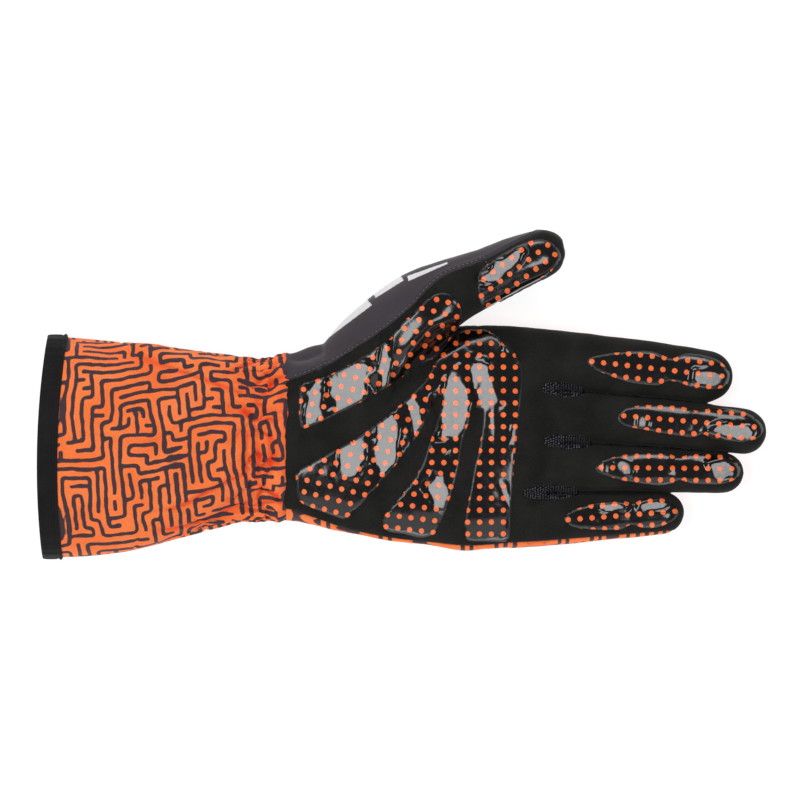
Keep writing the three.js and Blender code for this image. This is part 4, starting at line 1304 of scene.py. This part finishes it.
def grip(name, outline, lattice, tree, holes=()):
    """A silicone print over the skin: a fine grid trimmed to its outline, laid on the skin from above."""
    rim = plan_loop(outline)
    gaps = [plan_loop(hole) for hole in holes]
    xs, ys = [p.x for p in rim], [p.y for p in rim]
    cols = math.ceil((max(xs) - min(xs) + 4) / GRIP_CELL)
    rows = math.ceil((max(ys) - min(ys) + 4) / GRIP_CELL)
    bm = bmesh.new()
    bmesh.ops.create_grid(bm, x_segments=cols, y_segments=rows, size=0.5)
    bmesh.ops.scale(bm, vec=(cols * GRIP_CELL, rows * GRIP_CELL, 1), verts=bm.verts)
    bmesh.ops.translate(bm, vec=((max(xs) + min(xs)) / 2, (max(ys) + min(ys)) / 2, 0), verts=bm.verts)
    inside = depth_inside(bm, rim, gaps)
    outer = [v for v, depth in zip(bm.verts, inside) if depth < -0.3 * GRIP_CELL]
    bmesh.ops.delete(bm, geom=outer, context="VERTS")
    bmesh.ops.delete(bm, geom=[v for v in bm.verts if len(v.link_faces) < 2], context="VERTS")
    clear_crumbs(bm)
    for v in bm.verts:
        if v.is_boundary:
            here = v.co.xy
            nearest = [nearest_on(loop, here) for loop in [rim, *gaps]]
            near = min(nearest, key=lambda p: (p - here).length_squared)
            if (near - here).length < 1.5 * GRIP_CELL:
                v.co.xy = near
    bmesh.ops.inset_region(bm, faces=bm.faces[:], thickness=0.14, use_boundary=True, use_even_offset=False)
    inside = depth_inside(bm, rim, gaps)
    inside = np.where([v.is_boundary for v in bm.verts], 0.0, np.maximum(inside, 0.05))
    for v, depth in zip(bm.verts, inside):
        hit, normal, _, _ = tree.ray_cast(Vector((v.co.x, v.co.y, 80)), Vector((0, 0, -1)))
        if hit is None:
            hit, normal, _, _ = tree.find_nearest(Vector((v.co.x, v.co.y, 12)))
        edge = min(1.0, depth / ROUNDED_EDGE)
        v.co = hit + normal * (GRIP_RISE * math.sqrt(1 - (1 - edge) ** 2) - 0.06)
    bmesh.ops.recalc_face_normals(bm, faces=bm.faces)
    if sum(f.normal.z for f in bm.faces) < 0:
        bmesh.ops.reverse_faces(bm, faces=bm.faces)
    piece = piece_from(bm, name.replace("grip", "silicone"))
    store(piece.data, "rim", np.clip(1.3 - inside, 0, 1))
    relax = piece.modifiers.new("relax", "SMOOTH")
    relax.factor = 0.3
    relax.iterations = 2
    thicken(piece, GRIP_FILM)
    store_uv(piece.data, "lattice", dot_lattice(piece.data, lattice))
    return finish_piece(piece, [SILICONE], "silicone", name)


def print_coordinates(co):
    """Flat cloth coordinates on the hand's back: the plan underneath, carried up the sides."""
    out = np.maximum(co[:, 2], 0)
    side = np.where(co[:, 1] > 10, 1.0, -1.0)
    return np.stack([co[:, 0] + 14, co[:, 1] + side * out + 330], axis=1)


# The white bars: start, end, width at the start, width at the end
WHITE_BARS = [
    ((15.5, 42.5), (34.6, 57.4), 2.6, 3.6),
    ((36.4, 60.2), (48.6, 67.6), 2.9, 2.5),
    ((50.8, 67.2), (68.0, 74.0), 2.3, 0.8),
]


def white_bars(co):
    """Distance to the plain tapered bars along the thumb, below zero inside them."""
    best = np.full(len(co), 1e9)
    for a, b, wide, narrow in WHITE_BARS:
        a, b = np.array(a), np.array(b)
        run = b - a
        t = ((co[:, :2] - a) @ run) / (run @ run)
        held = np.clip(t, 0, 1)
        side = np.linalg.norm(co[:, :2] - a - t[:, None] * run, axis=1)
        ends = np.abs(t - held) * np.linalg.norm(run)
        best = np.minimum(best, np.maximum(side - (wide + (narrow - wide) * held) / 2, ends - 0.05))
    return best


def stitch_row(name, line, tree, length, gap, thick, lift):
    """A row of short thread stitches laid along a line on the skin."""
    points = smooth_curve([(*p, 0) for p in line], 0.4)
    bm = bmesh.new()
    reach, next_at = 0.0, 0.5
    for a, b in zip(points[:-1], points[1:]):
        reach += (b - a).length
        if reach < next_at:
            continue
        next_at = reach + length + gap
        hit, normal, _, _ = tree.ray_cast(Vector((b.x, b.y, 80)), Vector((0, 0, -1)))
        if hit is None:
            continue
        way = (b - a).normalized()
        way = (way - normal * way.dot(normal)).normalized()
        made = bmesh.ops.create_icosphere(bm, subdivisions=1, radius=1.0)["verts"]
        side = normal.cross(way)
        for v in made:
            x, y, z = v.co
            v.co = hit + way * (x * length / 2) + side * (y * thick) + normal * (z * thick + lift)
    return piece_from(bm, name)


# The gauntlet and its hem

def gauntlet_ring(along, turns):
    """The cuff's pleated cross-section, with the bowed and skewed mouth at its end."""
    width, height, drift, gather = column_spline(GAUNTLET_SECTIONS, np.array([along]))[0]
    seam = height * SEAM_SHARE
    across, up = np.cos(turns), np.sin(turns)
    power = np.where(up > 0, 2 / TOP_POWER, 2 / BASE_POWER)
    pleat = gather * pleats(turns, along)
    side = signed_power(across, power)
    y = side * (width / 2 + pleat)
    z = signed_power(up, power) * (np.where(up > 0, height - seam, seam + SETTLE) + pleat) + seam
    share = min(1.0, along / GAUNTLET_LENGTH)
    x = -along + share**2 * (HEM_BOW * side**2 + HEM_SKEW * side + HEM_SHIFT)
    return np.stack([x, y + drift, z], axis=1)


def pleats(turns, along):
    """The shirred gathers at the wrist: uneven small pleats that run along the hand."""
    spots = [Vector((math.cos(t) * 1.7, math.sin(t) * 1.7, along / 14.0)) for t in turns]
    drift = np.array([noise.noise(spot) for spot in spots])
    slow = turns + 0.22 * drift
    fine = math.exp(-(((along - 11) / 9) ** 2))
    return (
        0.62 * np.cos(9 * slow + 0.5)
        + 0.42 * np.cos(17 * slow + 1.9)
        + fine * (0.62 * np.cos(29 * slow + 4.0) + 0.42 * np.cos(44 * turns + 6 * drift + 2.2))
    )


def valleys(waves, width):
    """Narrow creases where soft waves pass through zero."""
    return np.exp(-((waves / width) ** 2))


def around_cuff(rings, row, col):
    """Each vertex's place round the cuff in the flat print, counted from the middle of its side."""
    cols = rings.shape[1]
    steps = np.linalg.norm(np.roll(rings, -1, axis=1) - rings, axis=2)
    arcs = np.cumsum(steps, axis=1) - steps
    top = np.arange(cols) < cols // 2
    middle = arcs[:, cols // 4][:, None]
    low_middle = arcs[:, 3 * cols // 4][:, None]
    across = np.where(top[None, :], arcs - middle, arcs - low_middle)
    return across[row, col] + np.where(top[col], 70, 205)


def cuff_relief(co, normal, seam):
    """How far the cuff's cloth stands out at each vertex, and its painted shade: darker in the wrist's
    gathers, the folds and creases, and where the cuff meets the suede.
    """
    upper = smoothstep(normal[:, 2], -0.2, 0.3)
    calm = smoothstep(-co[:, 0], 0, 8) * smoothstep(GAUNTLET_LENGTH + co[:, 0], 0, 10)
    soft = 0.7 * ripple(co, 26.0, 5.0, (0.7, 1, 1)) + 0.32 * ripple(co, 11.0, 2.0, (0.6, 1, 1))
    wrist = np.exp(-(((-co[:, 0] - 12) / 11) ** 2))
    broad = valleys(ripple(co, 15.0, 9.0, (0.7, 1, 1)), 0.055)
    fine = valleys(ripple(co, 9.0, 4.0, (0.8, 1, 1)), 0.07)
    open_side = 0.35 + 0.65 * smoothstep(normal[:, 2], -0.1, 0.5)
    crumple = wrist * open_side * (0.8 - 1.9 * broad - 1.5 * fine) * smoothstep(-co[:, 0], -1, 5)
    crumple -= 0.8 * calm * (1 - wrist) * valleys(ripple(co, 38.0, 1.0), 0.025)
    press = -1.5 * fold_relief(GAUNTLET_FOLDS, co) * upper
    facing = smoothstep(normal[:, 2], 0.25, 0.7)
    pinch = facing * fold_relief([(line, 1.0, 0.95, 1.4) for line in CUFF_CREASES], co)
    lips = facing * fold_relief([(line, 1.0, 3.2, 2.0) for line in CUFF_CREASES], co)
    tuck = -0.7 * np.exp(-((seam / 1.6) ** 2)) * calm + 0.6 * lips - 1.5 * pinch
    puff = 1.3 * np.exp(-(((-co[:, 0] - 3.5) / 3.2) ** 2)) * (0.7 + 0.9 * ripple(co, 9.0, 21.0, (0.2, 1, 1)))
    roll = -1.5 * np.exp(co[:, 0] / 0.8)
    # Painted shade: darker in the gathers' valleys, the pinched creases and the pressed folds, and where the
    # cuff tucks under the suede at the wrist.
    shade = 0.5 * wrist * (broad + fine) + 0.95 * pinch - 0.12 * press + 0.8 * np.exp(co[:, 0] / 2.0)
    return calm * soft + crumple + press + tuck + roll + puff, np.clip(shade, 0, 1)


def make_gauntlet():
    """The cuff: a pleated tube with its print, pressed folds, pinched creases and gathers at the wrist, and
    painted shade in its folds.
    """
    cols = 344
    turns = np.linspace(0, 2 * math.pi, cols, endpoint=False)
    alongs = np.concatenate([np.linspace(0.1, 30, 66), np.linspace(30.9, GAUNTLET_LENGTH, 74)])
    rings = np.array([gauntlet_ring(a, turns) for a in alongs])
    piece = loft("cuff_print", rings, ends=False)
    mesh = piece.data
    co, normal = places(mesh), places(mesh, "normal")
    row = read_numbers(mesh, "row").astype(int)
    col = read_numbers(mesh, "col").astype(int) % cols
    seam = np.minimum(np.abs(col), np.abs(col - cols // 2))
    relief, shade = cuff_relief(co, normal, np.minimum(seam, cols - col) * 0.8)
    co += normal * relief[:, None]
    edge = 0.6 + 1.5 * ripple(co * np.array([0, 1, 1]), 11.0, 31.0) + 0.045 * np.clip(co[:, 1], -30, 20)
    co[:, 0] += np.exp(co[:, 0] / 5.0) * edge
    co[:, 2] = np.maximum(co[:, 2], 0)
    move_to(mesh, co)
    for name in ("row", "col"):
        mesh.attributes.remove(mesh.attributes[name])
    store(mesh, "ink", printed_ink(np.stack([alongs[row], around_cuff(rings, row, col)], axis=1)))
    # Painted shade of the folds, creases, gathers and wrist seam, kept for the printed cloth's material.
    store(mesh, "crease_shade", shade)
    thicken(piece, GAUNTLET_WALL, inner=1, fine=smoothstep(co[:, 0], -42, -22))
    for face in piece.data.polygons:
        across, up = face.center.y / 38, (face.center.z - 14) / 14
        turned_out = face.normal.y * across / 38 + face.normal.z * up / 14 > 0
        if face.center.x < 0.4 - GAUNTLET_LENGTH:
            face.material_index = 1
        elif face.center.x > -50 and turned_out:
            face.material_index = 0
    return finish_piece(piece, [PRINTED, LINING], "printed_cloth", "gauntlet")


def hem_profile(a, b, wave, nub, cord):
    """How far the band's surface stands off the mouth, with a cord and a groove along its outside."""
    crown = b * (1 + 0.06 * wave) + HEM_PROUD - HEM_THICK / 2 + wave * 0.4
    if b > 0:
        ridge = cord * math.exp(-(((a + 3.6) / 0.55) ** 2))
        crown += nub + ridge - 0.35 * math.exp(-(((a + 2.4) / 0.5) ** 2))
    return crown


def make_hem():
    """The knitted band round the cuff's mouth: a flat roll with a seam nub at each side."""
    cols, around = 52, 360
    turns = np.linspace(0, 2 * math.pi, around, endpoint=False)
    line = gauntlet_ring(GAUNTLET_LENGTH, turns)
    out = np.roll(line, -1, axis=0) - np.roll(line, 1, axis=0)
    normal = np.stack([np.zeros(around), out[:, 2], -out[:, 1]], axis=1)
    normal /= np.linalg.norm(normal, axis=1)[:, None]
    centre = line.mean(axis=0)
    normal *= np.sign(((line - centre) * normal).sum(axis=1))[:, None]
    loop = np.linspace(0, 2 * math.pi, cols, endpoint=False)
    s = signed_power(np.cos(loop), 0.42) * (HEM_WIDTH / 2)
    n = signed_power(np.sin(loop), 0.6) * (HEM_THICK / 2)
    rings = []
    for k in range(around + 1):
        k %= around
        turn = turns[k]
        wave = 0.12 * math.sin(turn * 31) + 0.1 * math.sin(turn * 53 + 1)
        ways = [(turn - seam + math.pi) % (2 * math.pi) - math.pi for seam in (0.0, math.pi)]
        nub = 0.5 * sum(math.exp(-((way / 0.035) ** 2)) for way in ways)
        cord = 0.4 + 0.12 * math.sin(turn * 90)
        ring = []
        for a, b in zip(s, n):
            crown = Vector(normal[k]) * hem_profile(a, b, wave, nub, cord)
            ring.append(Vector(line[k]) + Vector((-HEM_WIDTH / 2 + 0.05 - a, 0, 0)) + crown)
        rings.append(ring)
    piece = loft("hem_knit", rings, closed=True)
    co = places(piece.data)
    co[:, 2] = np.maximum(co[:, 2], 0)
    move_to(piece.data, co)
    return finish_piece(piece, [BINDING], "knit_binding", "hem_band")


PRINT_LINES = labyrinth(275, 470, 3.75, 41)


def printed_ink(flat):
    """The labyrinth's ink over flat cloth coordinates, laid a little askew."""
    turn = math.radians(5)
    x = flat[:, 0] * math.cos(turn) + flat[:, 1] * math.sin(turn) + 5
    y = -flat[:, 0] * math.sin(turn) + flat[:, 1] * math.cos(turn) + 30
    return ink_field(PRINT_LINES, np.stack([x, y], axis=1))


# Building

skin, palm, back, thumb, fourchettes = cut_panels()
skin_mesh = bmesh.new()
skin_mesh.from_mesh(skin.data)
skin_tree = BVHTree.FromBMesh(skin_mesh)
skin_mesh.free()

thumb_seam = seam_line(thumb.data)
for sheet in (palm, back, *fourchettes):
    turn_in(sheet)
turn_in(thumb, ridge=0.5)
palm = thicken(palm, HAND_WALL, inner=1)
finish_piece(palm, [SUEDE, DARK_LINING], "suede", "palm_panel")
back = thicken(back, HAND_WALL, inner=1)
store(back.data, "ink", printed_ink(print_coordinates(places(back.data))))
# The back panel gets no painted shade.
store(back.data, "crease_shade", np.zeros(len(back.data.vertices)))
finish_piece(back, [PRINTED, DARK_LINING], "printed_cloth", "back_panel")
thumb = thicken(thumb, HAND_WALL, inner=1)
store(thumb.data, "bars", white_bars(places(thumb.data)))
finish_piece(thumb, [CHARCOAL, DARK_LINING], "charcoal_cloth", "thumb_back")
for piece, node in zip(fourchettes, FOURCHETTES):
    thicken(piece, HAND_WALL, inner=1)
    finish_piece(piece, [MESH_KNIT, DARK_LINING], "mesh_knit", node)

gauntlet = make_gauntlet()
hem = make_hem()

grip("grip_thenar", THENAR_GRIP, [(-14, (22.6, 21.5), None)], skin_tree)
PALM_LATTICE = [(0, (86.4, -31.0), None), (-7, (52.9, -29.2), LOW_ZONE), (-14, (24.1, -17.1), HEEL_ZONE)]
grip("grip_palm", PALM_GRIP, PALM_LATTICE, skin_tree, holes=(ULNAR_STRIP, MIDDLE_STRIP))
grip("grip_thumb", THUMB_GRIP, [(37.5, (94.1, 69.1), None)], skin_tree)
grip("grip_index", INDEX_GRIP, [(-6.4, (154.2, 29.3), None)], skin_tree)
grip("grip_middle", MIDDLE_GRIP, [(-4.9, (172.9, 6.5), None)], skin_tree)
grip("grip_ring", RING_GRIP, [(-0.5, (163.3, -13.2), None)], skin_tree)
grip("grip_little", LITTLE_GRIP, [(4.5, (139.2, -33.5), None)], skin_tree)
drop(skin)

along_seam = [(p.x - 0.35, p.y + 0.9) for p in thumb_seam]
stitches = stitch_row("seam_stitches", along_seam, skin_tree, length=1.0, gap=0.75, thick=0.13, lift=0.55)
finish_piece(stitches, [GREY_THREAD], "charcoal_cloth")


# Studio

def make_floor():
    """A plain white table under the glove."""
    bm = bmesh.new()
    bmesh.ops.create_grid(bm, x_segments=1, y_segments=1, size=4.0)
    bmesh.ops.translate(bm, vec=(0, 0, -0.0006), verts=bm.verts)
    floor = piece_from(bm, "floor")
    material = new_material(
        "white_table", Roughness=0.9, Specular_IOR_Level=0.1, Base_Color=(0.35, 0.35, 0.35, 1),
        Emission_Color=(1, 1, 1, 1), Emission_Strength=0.8,
    )[0]
    floor.data.materials.append(material)


def softbox(name, direction, distance, size, radiance):
    """A square lamp that faces the glove; its power is worked out from how bright its face looks."""
    lamp = bpy.data.lights.new(name, "AREA")
    lamp.shape = "RECTANGLE"
    lamp.size, lamp.size_y = size
    lamp.energy = radiance * math.pi * size[0] * size[1]
    holder = bpy.data.objects.new(name, lamp)
    bpy.context.scene.collection.objects.link(holder)
    azimuth, elevation = map(math.radians, direction)
    level = math.cos(elevation)
    way = Vector((math.cos(azimuth) * level, math.sin(azimuth) * level, math.sin(elevation)))
    holder.location = way * distance
    holder.rotation_euler = way.to_track_quat("Z", "Y").to_euler()


def make_studio():
    make_floor()
    softbox("left box", (182, 66), 1.6, (0.9, 0.5), 6.5)
    softbox("far box", (97, 33), 1.6, (1.6, 0.5), 4.6)
    softbox("right box", (-22, 58), 1.6, (0.5, 0.42), 6.0)
    softbox("near card", (-92, 42), 1.6, (1.6, 0.8), 0.75)
    softbox("low near box", (-90, 17), 1.6, (1.6, 0.4), 3.5)
    world = bpy.data.worlds.new("studio")
    world.use_nodes = True
    world.node_tree.nodes["Background"].inputs["Color"].default_value = (1, 1, 1, 1)
    world.node_tree.nodes["Background"].inputs["Strength"].default_value = 0.17
    scene = bpy.context.scene
    scene.world = world
    scene.view_settings.view_transform = "Standard"


CAMERA_HEIGHT = 6.0
SHARP_HEIGHT = 0.010
SHOWN_WIDTH = 0.3402
SENSOR = 36.0


def make_camera():
    """Straight above, as the photo was taken, with the fingers to the right."""
    lens = bpy.data.cameras.new("overhead")
    lens.sensor_width = SENSOR
    lens.lens = SENSOR * (CAMERA_HEIGHT - SHARP_HEIGHT) / SHOWN_WIDTH
    camera = bpy.data.objects.new("overhead", lens)
    camera.location = (-0.0001, -0.0023, CAMERA_HEIGHT)
    bpy.context.scene.collection.objects.link(camera)
    bpy.context.scene.camera = camera


make_studio()
make_camera()
